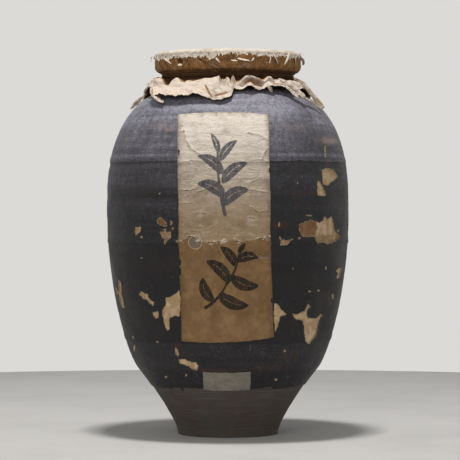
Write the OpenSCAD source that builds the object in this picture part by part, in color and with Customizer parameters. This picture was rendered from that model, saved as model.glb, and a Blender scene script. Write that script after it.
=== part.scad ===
// Tea storage jar: a tall stoneware jar pasted over with dark paper, closed by a tapered
// wooden inner lid and a wooden cap that wears a tied paper cover.
// Millimetres. +Z is up, the origin is the centre of the foot, and the label faces -Y.

/* [Jar] */
// Height of the mouth's rim above the ground
jar_h = 672; // [655:1:700]
// Outer radius of the foot
base_r = 90; // [80:1:100]
// Radius where the tapering lower wall turns up into the belly
knee_r = 161; // [150:1:168]
// Height of that turn
knee_z = 121; // [112:1:130]
// Outer radius of the clay at the belly
belly_r = 215; // [205:1:225]
// Height of the widest part of the belly
belly_z = 400; // [385:1:420]
// Height from the end of the shoulder to the rim
neck_h = 58; // [50:1:64]
// Outer radius of the straight neck
neck_r = 113; // [108:0.5:118]
// Radius of the hollow where shoulder and neck meet
neck_fillet = 10; // [6:0.5:14]
// How far the lip swells out beyond the neck
lip_out = 1.2; // [0.6:0.1:2]
// Height of the lip's swelling
lip_h = 15; // [10:0.5:17]
// Thickness of the clay wall
wall = 10.5; // [8:0.5:12]
// Thickness of the clay floor
floor_t = 16; // [12:0.5:22]
// Depth of the hollow under the foot
foot_hollow = 4; // [2:0.5:6]
// Width of the ring that the jar stands on
foot_ring = 16; // [10:0.5:22]
// How much wider the mouth's bore is at the rim than at the bottom of the neck
mouth_taper = 2.5; // [1.5:0.1:4]

/* [Paper on the jar] */
// Thickness of the pale lining paper
lining_t = 0.6; // [0.4:0.1:1]
// Thickness of each sheet of dark paper
sheet_t = 0.6; // [0.4:0.1:0.8]
// Thickness of the paste under every sheet and label
paste = 0.05; // [0.02:0.01:0.1]
// Height of the paper's lower edge
hem_z = 89; // [76:1:92]
// Height of each sheet's lower edge above the one below it
sheet_h = [90, 173, 142]; // [60:1:190]
// How far each sheet laps over the one below it
lap = 8; // [4:0.5:14]
// One step of the grid that the torn holes are laid out on
tear_grid = 1; // [0.8:0.05:1.2]

/* [Labels] */
// Width of the front label
label_w = 156; // [130:1:170]
// Height of the front label's lower edge
label_z = 175; // [172:1:190]
// Length of the front label, measured straight up
label_h = 392; // [350:1:396]
// Sideways lean of the front label, in degrees
label_lean = 1; // [0:0.1:2]
// How far both labels sit to the right of the middle
label_x = -3; // [-10:0.5:10]
// How much the label's ends bow
label_bow = 5; // [1:0.5:8]
// Thickness of the labels
label_t = 0.5; // [0.3:0.1:0.8]
// Width of the small label at the foot
foot_label_w = 84; // [60:1:100]
// Height of the small label at the foot
foot_label_h = 36; // [28:1:44]
// How far the small label hangs below the dark paper
foot_label_drop = 3; // [1:0.5:6]

/* [Inner lid] */
// Thickness of the tapered inner lid
plug_t = 14; // [10:0.5:18]
// How deep the top of the inner lid lies below the rim
plug_sink = 16; // [13:0.5:19]
// Gap between the inner lid and the mouth's bore
plug_gap = 0.35; // [0.2:0.05:0.5]
// Width of each batten on the inner lid
batten_w = 18; // [12:0.5:24]
// Height of each batten
batten_h = 9; // [6:0.5:11]
// Distance between the two battens' middles
batten_pitch = 96; // [70:1:110]
// Radius of the pegs that hold the battens
batten_peg_r = 2; // [1.5:0.1:3]

/* [Cap] */
// Outer radius of the wooden cap
cap_r = 129; // [126:0.5:134]
// Total height of the wooden cap
cap_h = 32; // [29:0.5:36]
// Thickness of the cap's board
board_t = 9; // [8:0.5:12]
// Gap between the cap's ring and the lip
cap_fit = 0.8; // [0.5:0.1:1.5]
// Gap between the cap's board and the rim
seat_gap = 0.3; // [0.2:0.05:0.6]
// Round on the lower outer edge of the cap
cap_round = 9; // [6:0.5:11]
// Round on the upper outer edge of the cap
cap_edge = 3.5; // [2:0.5:5]
// Radius of the wooden pegs between board and ring
cap_peg_r = 2.4; // [1.8:0.1:3]

/* [Cover] */
// Thickness of the cover paper
cover_t = 1.2; // [0.8:0.1:1.6]
// Gap between the cover's throat and the lip
throat_gap = 0.6; // [0.4:0.1:1.2]
// How far below the cap the throat is tied
throat_drop = 10; // [9:0.5:12]
// How far the skirt reaches out from the throat, on average
skirt_reach = 48; // [40:0.5:52]
// How far the skirt falls below the throat, on average
skirt_fall = 37; // [30:0.5:40]
// Height of the skirt's folds at its hem
fold_h = 6; // [3:0.5:8]
// Thickness of the worn sheet on top of the cover
top_sheet_t = 0.6; // [0.4:0.1:0.9]
// How far the worn top sheet hangs down the side, on average
top_sheet_drop = 13; // [8:0.5:16]
// Diameter of the tie cord
cord_d = 3; // [2:0.1:4]

/* [Hidden] */
$fn = 96;

clay = [0.34, 0.30, 0.27];
dark_paper = [0.13, 0.12, 0.13];
pale_paper = [0.72, 0.62, 0.47];
label_paper = [0.74, 0.65, 0.52];
foot_label_paper = [0.55, 0.52, 0.47];
cedar = [0.62, 0.45, 0.29];
peg_wood = [0.74, 0.60, 0.40];
cover_colour = [0.72, 0.60, 0.44];
top_sheet_colour = [0.86, 0.81, 0.72];
hemp = [0.45, 0.33, 0.21];
overcut = 1;   // how far cutting tools run past what they cut

// Outline of the clay, from the foot up to the start of the neck, as four joined curves.
foot_rise = 25;       // the wall leaves the foot upright for about this much
knee_slope = 53;      // slope of the wall at the knee, in degrees
knee_pull = 30;       // how long the curve keeps that slope either side of the knee
belly_low = 140;      // how long the belly stays upright below its widest part
belly_high = 75;      // and above it
shoulder_slope = 24;  // slope of the shoulder where it meets the neck, in degrees
shoulder_pull = 95;   // how long the shoulder keeps that slope
shoulder_r = neck_r + neck_fillet;
shoulder_z = jar_h - neck_h;
neck_z = shoulder_z + neck_fillet;

foot = [base_r, 0];
knee = [knee_r, knee_z];
belly = [belly_r, belly_z];
shoulder = [shoulder_r, shoulder_z];
knee_way = [cos(knee_slope), sin(knee_slope)];
shoulder_way = [-cos(shoulder_slope), sin(shoulder_slope)];

CURVES = [
    [foot, foot + [0, foot_rise], knee - knee_pull * knee_way, knee],
    [knee, knee + knee_pull * knee_way, belly - [0, belly_low], belly],
    [belly, belly + [0, belly_high], shoulder - shoulder_pull * shoulder_way, shoulder],
    [shoulder, shoulder + 0.5 * neck_fillet * shoulder_way,
        [neck_r, neck_z - 0.5 * neck_fillet], [neck_r, neck_z]]
];
CURVE_STEPS = [10, 14, 16, 6];

// A point of a cubic curve with four control points, and the way the curve runs there.
function curve_point(c, t) =
    pow(1 - t, 3) * c[0] + 3 * pow(1 - t, 2) * t * c[1] + 3 * (1 - t) * t * t * c[2] + t * t * t * c[3];
function curve_way(c, t) =
    pow(1 - t, 2) * (c[1] - c[0]) + 2 * (1 - t) * t * (c[2] - c[1]) + t * t * (c[3] - c[2]);
function unit(v) = v / norm(v);
function outward(way) = [way[1], -way[0]] / norm(way);

// The wall's outline moved outwards by off, or inwards where off is negative.
function wall_line(off) = [
    for (i = [0 : len(CURVES) - 1])
        for (k = [(i == 0 ? 0 : 1) : CURVE_STEPS[i]])
            let (t = k / CURVE_STEPS[i])
                curve_point(CURVES[i], t) + off * outward(curve_way(CURVES[i], t))
];
function reversed(list) = [for (i = [len(list) - 1 : -1 : 0]) list[i]];

// Radius of the mouth's bore at a height: it narrows evenly from rim to shoulder.
mouth_r = neck_r - wall;
function bore_r(z) = mouth_r + mouth_taper * (z - neck_z) / (jar_h - neck_z);

lip_r = neck_r + lip_out;
paper_top = shoulder_z + 2;

// Distances of the layers off the clay, from the lining out to a sheet that laps over another.
lining_out = paste + lining_t;
sheet_in = lining_out + paste;
sheet_out = sheet_in + sheet_t;
lap_in = sheet_out + paste;
lap_out = lap_in + sheet_t;

// Heights of the dark sheets' lower edges, from the hem up.
SEAMS = [hem_z, hem_z + sheet_h[0], hem_z + sheet_h[0] + sheet_h[1], hem_z + sheet_h[0] + sheet_h[1] + sheet_h[2]];

// Places where the dark paper has torn away, as seen from the front, in steps of the grid:
// [right of the middle, height, outline round that place].
TEARS = [
    [177, 461, [[-13, 9], [-7, 13], [7, 12], [15, -1], [12, -5], [-5, -16], [-11, -13]]],
    [163, 437, [[-7, 15], [-4, 13], [3, 2], [8, -9], [5, -11], [-7, -9]]],
    [170, 366, [[-20, 15], [-10, 13], [-4, 18], [-2, 24], [4, 18], [10, 24], [14, 13], [16, -1],
        [28, -12], [18, -19], [4, -24], [-4, -19], [-14, -21], [-20, -8]]],
    [136, 370, [[-13, 7], [7, 14], [18, 11], [18, -12], [2, -15], [-8, -13], [-12, -3]]],
    [99, 348, [[-10, 7], [-6, 2], [2, 1], [13, 3], [6, -1], [2, -7], [-9, -7], [-7, -1]]],
    [196, 290, [[-5, 5], [-1, 8], [6, 8], [3, 2], [1, -7], [-1, -10], [-3, -8], [-1, 0]]],
    [140, 209, [[-28, 13], [-18, 11], [-13, 15], [-7, 15], [0, 29], [3, 24], [-3, 18], [-4, 10],
        [-1, 4], [16, 2], [22, 10], [25, 8], [19, 1], [14, -28], [1, -42], [-4, -37], [-8, -5],
        [-11, 2], [-21, 3]]],
    [86, 221, [[-6, 19], [-1, 19], [3, 11], [15, 0], [3, -3], [1, -15], [-4, -28], [-6, -11]]],
    [-99, 226, [[15, 36], [17, 23], [16, 8], [15, -8], [8, -6], [-3, -11], [-3, -30], [-6, -32],
        [-10, -25], [-14, -5], [-12, 8], [-8, 9], [-7, 24], [-2, 24], [8, 30]]],
    [-141, 248, [[-13, 7], [-10, 11], [1, 7], [2, 1], [12, -7], [11, -13], [0, -2], [-6, -1]]],
    [-125, 219, [[-5, 5], [4, 6], [4, -2], [0, -6], [-3, -3]]],
    [-190, 251, [[-3, 27], [1, 20], [0, 10], [6, -22], [2, -20], [-2, -4]]],
    [-88, 155, [[-3, 7], [0, 5], [2, -3], [1, -7], [-2, -4]]],
    [-68, 135, [[-17, 6], [-7, 8], [4, 2], [13, 2], [16, -4], [13, -11], [-7, -1], [-16, 1]]],
    [-157, 366, [[-3, 5], [6, 6], [5, -1], [-2, -8], [-4, -4]]],
    [-107, 354, [[-10, 9], [8, 9], [9, 1], [2, -4], [-1, -11], [-3, -2], [-6, 2]]],
    [-114, 380, [[-8, 4], [-2, 9], [9, -2], [8, -7], [-6, -2]]]
];

// ---- Clay ----

// The swelling of the lip, as a half wave up the neck's outer face.
function lip_line() = [
    for (a = [0 : 15 : 180]) [neck_r + lip_out * sin(a), jar_h - lip_h + lip_h * a / 180]
];

module jar() {
    color(clay)
    rotate_extrude()
    difference() {
        polygon(concat([[0, 0]], wall_line(0), lip_line(), [[0, jar_h]]));
        intersection() {
            polygon(concat(
                [[0, 0]],
                wall_line(-wall),
                [[bore_r(jar_h), jar_h], [bore_r(jar_h), jar_h + overcut], [0, jar_h + overcut]]
            ));
            translate([0, floor_t]) square([belly_r, jar_h]);
        }
        translate([0, -overcut]) square([base_r - foot_ring, foot_hollow + overcut]);
    }
}

// ---- Paper pasted on the clay ----

// A skin that follows the wall between two heights, from inner to outer distance off the clay.
module skin(z0, z1, inner, outer) {
    rotate_extrude()
    intersection() {
        polygon(concat(wall_line(outer), reversed(wall_line(inner))));
        translate([0, z0]) square([2 * belly_r, z1 - z0]);
    }
}

// A prism that runs from the jar's axis straight out of its front.
module front_prism(outline) {
    rotate([90, 0, 0])
    linear_extrude(2 * belly_r)
    polygon(outline);
}

module tear_prisms(z0, z1) {
    for (tear = TEARS)
        let (x = tear_grid * tear[0], z = tear_grid * tear[1])
            if (z > z0 && z < z1)
                translate([x, 0, z]) front_prism(tear_grid * tear[2]);
}

module lining_paper() {
    color(pale_paper) skin(hem_z, paper_top, paste, lining_out);
}

// One sheet of dark paper between two seams. All but the lowest lap over the sheet below.
module dark_sheet(i) {
    low = SEAMS[i];
    high = i + 1 < len(SEAMS) ? SEAMS[i + 1] : paper_top;
    color(dark_paper)
    difference() {
        union() {
            skin(low, high, sheet_in, sheet_out);
            if (i > 0) {
                skin(low, low + lap / 2, sheet_in, lap_out);
                skin(low - lap, low, lap_in, lap_out);
            }
        }
        tear_prisms(low - lap, high + lap);
    }
}

module hem_paper() { dark_sheet(0); }
module lower_paper() { dark_sheet(1); }
module upper_paper() { dark_sheet(2); }
module shoulder_paper() { dark_sheet(3); }

// ---- Labels ----

// A pasted label's outline seen from the front, with ends that bow away from its middle.
function label_outline(w, h, bow_top, bow_low) = concat(
    [for (k = [-3 : 3]) [k / 3 * w / 2, bow_low * k * k / 9]],
    [for (k = [3 : -1 : -3]) [k / 3 * w / 2, h - bow_top * k * k / 9]]
);

module front_label() {
    color(label_paper)
    intersection() {
        skin(label_z - overcut, label_z + label_h + 2 * overcut, lap_out + paste, lap_out + paste + label_t);
        translate([label_x, 0, label_z + label_h / 2])
        rotate([0, -label_lean, 0])
        translate([0, 0, -label_h / 2])
        front_prism(label_outline(label_w, label_h, label_bow / 2, label_bow));
    }
}

module foot_label() {
    z = hem_z - foot_label_drop;
    color(foot_label_paper)
    intersection() {
        skin(z - overcut, z + foot_label_h + overcut, lap_in, lap_in + label_t);
        translate([label_x, 0, z])
        front_prism(label_outline(foot_label_w, foot_label_h, -label_bow / 3, label_bow / 3));
    }
}

// ---- Inner lid: a tapered plug with two battens to lift it by ----

plug_top = jar_h - plug_sink;
plug_low = plug_top - plug_t;
batten_top = plug_top + batten_h;
batten_len = 1.5 * mouth_r;
peg_places = [for (side = [-1, 1]) for (along = [-1, 1]) [side * batten_pitch / 2, along * batten_len / 3]];
batten_peg_deep = plug_t / 2;   // how far the pegs run into the lid

module inner_lid_pegs(grow = 0) {
    color(peg_wood)
    for (p = peg_places)
        translate([p[0], p[1], plug_top - batten_peg_deep])
        cylinder(r = batten_peg_r, h = batten_peg_deep + batten_h + grow, $fn = 24);
}

module inner_lid() {
    color(cedar)
    difference() {
        rotate_extrude()
        polygon([
            [0, plug_low], [bore_r(plug_low) - plug_gap - 1, plug_low],
            [bore_r(plug_low + 1) - plug_gap, plug_low + 1],
            [bore_r(plug_top - 1) - plug_gap, plug_top - 1],
            [bore_r(plug_top) - plug_gap - 1, plug_top], [0, plug_top]
        ]);
        inner_lid_pegs();
    }
}

module inner_lid_battens() {
    bevel = batten_h / 3;
    color(cedar)
    difference() {
        for (side = [-1, 1])
            translate([side * batten_pitch / 2, batten_len / 2, plug_top])
            rotate([90, 0, 0])
            linear_extrude(batten_len)
            polygon([
                [-batten_w / 2, 0], [batten_w / 2, 0], [batten_w / 2, batten_h - bevel],
                [batten_w / 2 - bevel, batten_h], [bevel - batten_w / 2, batten_h],
                [-batten_w / 2, batten_h - bevel]
            ]);
        inner_lid_pegs(overcut);
    }
}

// ---- Cap: a board on a ring of four felloes, pegged together ----

board_z = jar_h + seat_gap;
cap_top = board_z + board_t;
cap_low = cap_top - cap_h;
ring_in = lip_r + cap_fit;
felloes = 4;
felloe_gap = 0.2;
cap_peg_circle = (ring_in + cap_r) / 2;
cap_peg_len = board_t + (cap_h - board_t) / 2;

// A quarter round between two directions, for edges that are turned on a lathe.
function arc(centre, r, a0, a1, steps = 6) = [
    for (k = [0 : steps]) let (a = a0 + (a1 - a0) * k / steps) centre + r * [cos(a), sin(a)]
];

module cap_pegs(grow = 0) {
    color(peg_wood)
    for (i = [0 : 2 * felloes - 1])
        rotate([0, 0, (i + 0.5) * 180 / felloes])
        translate([cap_peg_circle, 0, cap_top - cap_peg_len])
        cylinder(r = cap_peg_r, h = cap_peg_len + grow, $fn = 24);
}

module cap_board() {
    color(cedar)
    difference() {
        rotate_extrude()
        polygon(concat(
            [[0, board_z], [cap_r, board_z]],
            arc([cap_r - cap_edge, cap_top - cap_edge], cap_edge, 0, 90),
            [[0, cap_top]]
        ));
        cap_pegs(overcut);
    }
}

module cap_ring() {
    color(cedar)
    difference() {
        rotate_extrude()
        polygon(concat(
            [[ring_in, board_z], [ring_in, cap_low]],
            arc([cap_r - cap_round, cap_low + cap_round], cap_round, -90, 0),
            [[cap_r, board_z]]
        ));
        for (i = [0 : felloes - 1])
            rotate([0, 0, i * 360 / felloes])
            translate([0, -felloe_gap / 2, cap_low - overcut])
            cube([2 * cap_r, felloe_gap, cap_h + 2 * overcut]);
        cap_pegs();
    }
}

// ---- Cover: one sheet over the cap, gathered at the throat, flaring as a skirt ----

COLUMNS = 84;           // columns of the sheet round the cap
skirt_rows = 7;
throat_r = lip_r + throat_gap + cover_t / 2;
throat_z = cap_low - throat_drop;
throat_half = cord_d + 1;  // the throat is straight for this much above and below its middle
throat_pleat = 0.6;     // height of the pleats there
skin_gap = 0.2;         // between the wood and the paper on it
rest_gap = 0.5;         // between the skirt and the shoulder that it lies on
cover_off = skin_gap + cover_t / 2;

// Uneven folds round the skirt, from -1 to 1, and the pleats that lead into them.
function folds(a) = 0.5 * sin(9 * a + 40) + 0.3 * sin(14 * a + 200) + 0.2 * sin(23 * a + 75);
function pleats(a) = 0.5 + 0.3 * sin(31 * a) + 0.2 * sin(19 * a + 60);

// The skirt's length as a share of the average, at turns from the front. It is torn short at the
// right of the front and longest at both sides of it.
SKIRT_LENGTHS = [
    [-180, 0.95], [-160, 1.02], [-140, 0.9], [-120, 0.98], [-100, 0.82], [-90, 0.68], [-70, 0.93],
    [-50, 1.12], [-38, 1.24], [-20, 1.1], [-5, 1.14], [3, 0.85], [6, 0.66], [28, 0.66], [40, 0.93],
    [46, 1.1], [60, 1.22], [66, 1.26], [78, 0.86], [95, 0.84], [115, 1], [135, 0.88], [160, 1],
    [180, 0.95]
];
function skirt_length(a) = lookup(a > 180 ? a - 360 : a, SKIRT_LENGTHS);

// Height of the paper's outer face on the shoulder at a radius.
function shoulder_top(r) = lookup(r, [
    for (p = reversed(wall_line(lap_out))) if (p[1] > belly_z) [p[0], p[1]]
]);

// Each row of the sheet's middle surface: [radius, height, way out of the sheet, pleat height].
function crown_rows() = concat(
    [[cap_r / 2, cap_top + cover_off, [0, 1], 0]],
    [for (a = [90 : -30 : 0])
        let (p = arc([cap_r - cap_edge, cap_top - cap_edge], cap_edge + cover_off, a, a, 1)[0])
            [p[0], p[1], [cos(a), sin(a)], 0.4]],
    [for (a = [0 : -30 : -90])
        let (p = arc([cap_r - cap_round, cap_low + cap_round], cap_round + cover_off, a, a, 1)[0])
            [p[0], p[1], [cos(a), sin(a)], 0.7]],
    [[throat_r + 5, cap_low - cover_off - 1, [0.3, -1], 0.8],
        [throat_r, throat_z + throat_half, [1, -0.2], throat_pleat],
        [throat_r, throat_z - throat_half, [1, 0.2], throat_pleat]]
);

// A point of the skirt's middle surface, u from 0 at the throat to 1 at the hem. It lies on the
// shoulder where it would fall lower.
function skirt_point(a, u) =
    let (
        reach = skirt_reach * skirt_length(a),
        fall = skirt_fall * skirt_length(a),
        wave = fold_h * pow(u, 0.8) * folds(a),
        r = throat_r + reach * (0.35 * u + 0.65 * u * u) + 0.6 * wave,
        z = throat_z - throat_half - fall * (1.25 * u - 0.25 * u * u) + 0.8 * wave
    )
    [r, max(z, shoulder_top(r) + cover_t + rest_gap)];

// Points round one row: the outer face lies side = 1 and the inner face side = -1.
function crown_ring(row, side) = [
    for (i = [0 : COLUMNS - 1])
        let (
            a = 360 * i / COLUMNS,
            out = unit(row[2]),
            off = side * cover_t / 2 + row[3] * pleats(a),
            p = [row[0], row[1]] + off * out
        )
            [p[0] * sin(a), -p[0] * cos(a), p[1]]
];
function skirt_ring(u, side) = [
    for (i = [0 : COLUMNS - 1])
        let (a = 360 * i / COLUMNS, p = skirt_point(a, u) + side * cover_t / 2 * unit([0.8, 0.7]))
            [p[0] * sin(a), -p[0] * cos(a), p[1]]
];

// Quads between two neighbouring rings that start at points a and b.
function band(a, b, n) = [for (i = [0 : n - 1]) let (j = (i + 1) % n) [a + i, a + j, b + j, b + i]];
// A fan of triangles that closes a ring onto a pole, for a ring that runs anticlockwise from above.
function fan(pole, a, n) = [for (i = [0 : n - 1]) [pole, a + (i + 1) % n, a + i]];
function flat(lists) = [for (l = lists) for (x = l) x];

// A closed sheet: outer rings from pole to hem, then inner rings from hem to pole.
module sheet_solid(outer, inner, pole_top, pole_low) {
    rings = concat(outer, reversed(inner));
    n = len(outer[0]);
    last = len(rings) - 1;
    points = concat(flat(rings), [pole_top, pole_low]);
    faces = concat(
        flat([for (k = [0 : last - 1]) band(k * n, (k + 1) * n, n)]),
        fan(len(rings) * n, 0, n),
        [for (i = [0 : n - 1]) [len(rings) * n + 1, last * n + i, last * n + (i + 1) % n]]
    );
    polyhedron(points, faces);
}

module cover_paper() {
    us = [for (k = [1 : skirt_rows]) k / skirt_rows];
    outer = concat([for (row = crown_rows()) crown_ring(row, 1)], [for (u = us) skirt_ring(u, 1)]);
    inner = concat([for (row = crown_rows()) crown_ring(row, -1)], [for (u = us) skirt_ring(u, -1)]);
    color(cover_colour)
    sheet_solid(outer, inner, [0, 0, cap_top + skin_gap + cover_t], [0, 0, cap_top + skin_gap]);
}

// ---- Worn pale sheet on top of the cover ----

top_off = skin_gap + cover_t + 0.8;   // clears the pleats of the cover below

// How far the torn edge hangs at an angle, as a share of the average.
function ragged(a) = 1 + 0.35 * sin(11 * a + 30) + 0.25 * sin(26 * a) + 0.2 * sin(41 * a + 90);

function top_ring(drop, off) = [
    for (i = [0 : COLUMNS - 1])
        let (
            a = 360 * i / COLUMNS,
            corner = cap_edge + off,
            turn = min(90, drop * 90 / corner),
            straight = max(0, drop - corner) * ragged(a),
            r = cap_r - cap_edge + corner * sin(turn),
            z = cap_top - cap_edge + corner * cos(turn) - straight
        )
            [r * sin(a), -r * cos(a), z]
];

module top_sheet() {
    drops = [0, 2, 4, cap_edge + top_off + top_sheet_t, top_sheet_drop];
    color(top_sheet_colour)
    sheet_solid(
        [for (d = drops) top_ring(d, top_off + top_sheet_t)],
        [for (d = drops) top_ring(d, top_off)],
        [0, 0, cap_top + top_off + top_sheet_t],
        [0, 0, cap_top + top_off]
    );
}

// ---- Tie cord: two turns round the throat ----

cord_turns = 2;
cord_steps = 36;        // rings of the swept cord in each turn
cord_sides = 8;
cord_r = throat_r + cover_t / 2 + throat_pleat + skin_gap + cord_d / 2;

// A point of the cord's middle line, which winds down by its own thickness each turn.
function cord_point(a) = [
    cord_r * sin(a), -cord_r * cos(a), throat_z + cord_d * (cord_turns / 2 - (a + 180) / 360)
];

module tie_cord() {
    total = cord_turns * cord_steps;
    rings = [
        for (k = [0 : total])
            let (a = 360 * k / cord_steps - 180, p = cord_point(a), out = [sin(a), -cos(a), 0])
                for (s = [0 : cord_sides - 1])
                    let (b = -360 * s / cord_sides)
                        p + cord_d * 0.49 * (cos(b) * out + [0, 0, sin(b)])
    ];
    color(hemp)
    polyhedron(rings, concat(
        [[for (s = [cord_sides - 1 : -1 : 0]) s]],
        flat([for (k = [0 : total - 1]) band(k * cord_sides, (k + 1) * cord_sides, cord_sides)]),
        [[for (s = [0 : cord_sides - 1]) total * cord_sides + s]]
    ));
}

jar();
lining_paper();
shoulder_paper();
upper_paper();
lower_paper();
hem_paper();
front_label();
foot_label();
inner_lid();
inner_lid_battens();
inner_lid_pegs();
cap_board();
cap_ring();
cap_pegs();
cover_paper();
top_sheet();
tie_cord();
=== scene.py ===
"""Dresses a tall tea storage jar, pasted over with torn dark paper and closed with a tied cover.

Sizes are in millimetres until they are put on a mesh, and the frame is in metres. +Z is up, the
origin is the centre of the foot, and the label faces -Y.
"""

import sys
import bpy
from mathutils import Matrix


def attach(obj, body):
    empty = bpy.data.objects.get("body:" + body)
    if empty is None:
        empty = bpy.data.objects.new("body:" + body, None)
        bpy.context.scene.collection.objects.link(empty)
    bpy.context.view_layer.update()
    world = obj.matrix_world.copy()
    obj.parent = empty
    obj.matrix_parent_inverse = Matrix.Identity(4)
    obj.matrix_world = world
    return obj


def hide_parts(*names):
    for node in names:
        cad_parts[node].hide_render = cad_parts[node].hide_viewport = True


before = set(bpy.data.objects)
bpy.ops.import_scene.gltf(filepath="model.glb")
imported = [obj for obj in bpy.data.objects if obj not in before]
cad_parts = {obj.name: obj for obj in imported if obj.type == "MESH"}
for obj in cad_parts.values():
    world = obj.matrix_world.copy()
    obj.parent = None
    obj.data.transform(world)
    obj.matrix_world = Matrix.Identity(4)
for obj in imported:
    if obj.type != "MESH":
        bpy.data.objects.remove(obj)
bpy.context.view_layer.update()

import logging
import math
from dataclasses import dataclass, field
from enum import Enum
from functools import reduce
from typing import Callable, Sequence

import bpy
import numpy as np
from mathutils import Vector

LOG = logging.getLogger("tea_jar")
MM = 0.001
# Large numbers that scatter the values of the noise.
CELL_PRIMES = np.array([73856093, 19349663, 83492791])
SEED_PRIME = 2654435761
STIRS = ((13, 1274126177), (15, 668265263))
WELD = 2e-5  # how near two points lie, in metres, to become one
FRONT = -230  # y of a place in front of the whole jar, where cutters start

Piece = bpy.types.Object
Socket = bpy.types.NodeSocket
Rule = Callable[[np.ndarray, np.ndarray], np.ndarray]
Values = np.ndarray | float


# ---- Numbers that vary smoothly or at random, always the same way ----


def cloud(points: np.ndarray, seed: int, octaves: int = 3) -> np.ndarray:
    """Smooth noise at points in space.

    Args:
        points: one row of x, y, z for each point, where 1 is the size of a lump.
        seed: which of the many noises it is.
        octaves: how many finer layers are added.

    Returns:
        One number for each point, mostly from -1 to 1.
    """
    total = np.zeros(len(points))
    share = 1.0
    for layer in range(octaves):
        place = points * 2.0**layer + 17.3 * layer
        cell = np.floor(place).astype(np.int64)
        part = place - cell
        part = part * part * (3 - 2 * part)
        value = np.zeros(len(points))
        for corner in range(8):
            step = np.array([corner & 1, corner >> 1 & 1, corner >> 2])
            at = cell + step
            mixed = at * CELL_PRIMES
            code = mixed[:, 0] ^ mixed[:, 1] ^ mixed[:, 2] ^ (seed + layer) * SEED_PRIME
            for shift, prime in STIRS:
                code = ((code ^ code >> shift) * prime) & 0x7FFFFFFF
            weight = np.prod(np.where(step == 1, part, 1 - part), axis=1)
            value += weight * ((code >> 8 & 0xFFFF) / 32767.5 - 1)
        total += share * value
        share *= 0.5
    return total * 1.15


def ramp(x: np.ndarray, low: float, high: float) -> np.ndarray:
    """A smooth step from 0 at low to 1 at high."""
    t = np.clip((x - low) / (high - low), 0, 1)
    return t * t * (3 - 2 * t)


def bump(x: Values, middle: Values, half: float, power: float = 2) -> np.ndarray:
    """A bump of height 1 at its middle, which falls away at half to both sides of it."""
    return np.exp(-np.abs((x - middle) / half) ** power)


def stack(*columns: Values) -> np.ndarray:
    """Columns side by side, where a single number fills its whole column."""
    return np.column_stack(np.broadcast_arrays(*columns)).astype(float)


def circle(angle: np.ndarray) -> np.ndarray:
    """Points of a flat circle, for noise that closes up round the jar."""
    return stack(np.sin(angle), np.cos(angle), 0)


def turned(radius: Values, angle: Values, height: Values) -> np.ndarray:
    """Points round the axis, at angles that start at the front and grow to the right."""
    return stack(radius * np.sin(angle), -radius * np.cos(angle), height)


def half_turn(degrees: np.ndarray) -> np.ndarray:
    """Angles brought to between -180 and 180 degrees."""
    return (degrees + 180) % 360 - 180


def turn_of(places: np.ndarray) -> np.ndarray:
    """The angles of points round the axis."""
    return np.arctan2(places[:, 0], -places[:, 1])


def unit(ways: np.ndarray) -> np.ndarray:
    """Directions, one row each, brought to length 1."""
    return ways / (np.linalg.norm(ways, axis=1)[:, None] + 1e-9)


def bend_between(before: np.ndarray, start: np.ndarray, end: np.ndarray, after: np.ndarray,
                 share: np.ndarray) -> np.ndarray:
    """A smooth line from one knot to the next, led by the knots on both sides.

    Args:
        before: the knot before the leg.
        start: the knot where the leg starts.
        end: the knot where it ends.
        after: the knot after it.
        share: how far along the leg, from 0 to 1.

    Returns:
        One row for each place.
    """
    curve = 2 * before - 5 * start + 4 * end - after
    twist = 3 * start - before - 3 * end + after
    return 0.5 * (2 * start + (end - before) * share + curve * share**2 + twist * share**3)


def through(knots: np.ndarray, share: np.ndarray) -> np.ndarray:
    """A smooth line through knots.

    Args:
        knots: one row of numbers for each knot.
        share: places along the line, where each whole number is a knot.

    Returns:
        One row for each place.
    """
    rows = np.concatenate([2 * knots[:1] - knots[1:2], knots, 2 * knots[-1:] - knots[-2:-1]])
    leg = np.clip(np.floor(share).astype(int), 0, len(knots) - 2)
    return bend_between(*(rows[leg + step] for step in range(4)), (share - leg)[:, None])


def leg_distance(x: np.ndarray, z: np.ndarray, start: Sequence[float],
                 end: Sequence[float]) -> tuple[np.ndarray, np.ndarray]:
    """Distance from points to a straight leg.

    Args:
        x: the points' places across.
        z: the points' heights.
        start: where the leg starts, as x and z.
        end: where it ends.

    Returns:
        The distances, and how far along the leg each is nearest, from 0 to 1.
    """
    across, rise = end[0] - start[0], end[1] - start[1]
    x, z = x - start[0], z - start[1]
    share = np.clip((x * across + z * rise) / (across**2 + rise**2 + 1e-12), 0, 1)
    return np.hypot(x - share * across, z - share * rise), share


def outline_distance(x: np.ndarray, z: np.ndarray, outline: np.ndarray) -> np.ndarray:
    """Distance from points to a closed outline.

    Args:
        x: the points' places across.
        z: the points' heights.
        outline: the outline's corners, in order.

    Returns:
        One distance for each point.
    """
    legs = zip(outline, np.roll(outline, -1, axis=0))
    return np.minimum.reduce([leg_distance(x, z, *leg)[0] for leg in legs])


# ---- Hand work that every piece shares ----


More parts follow.
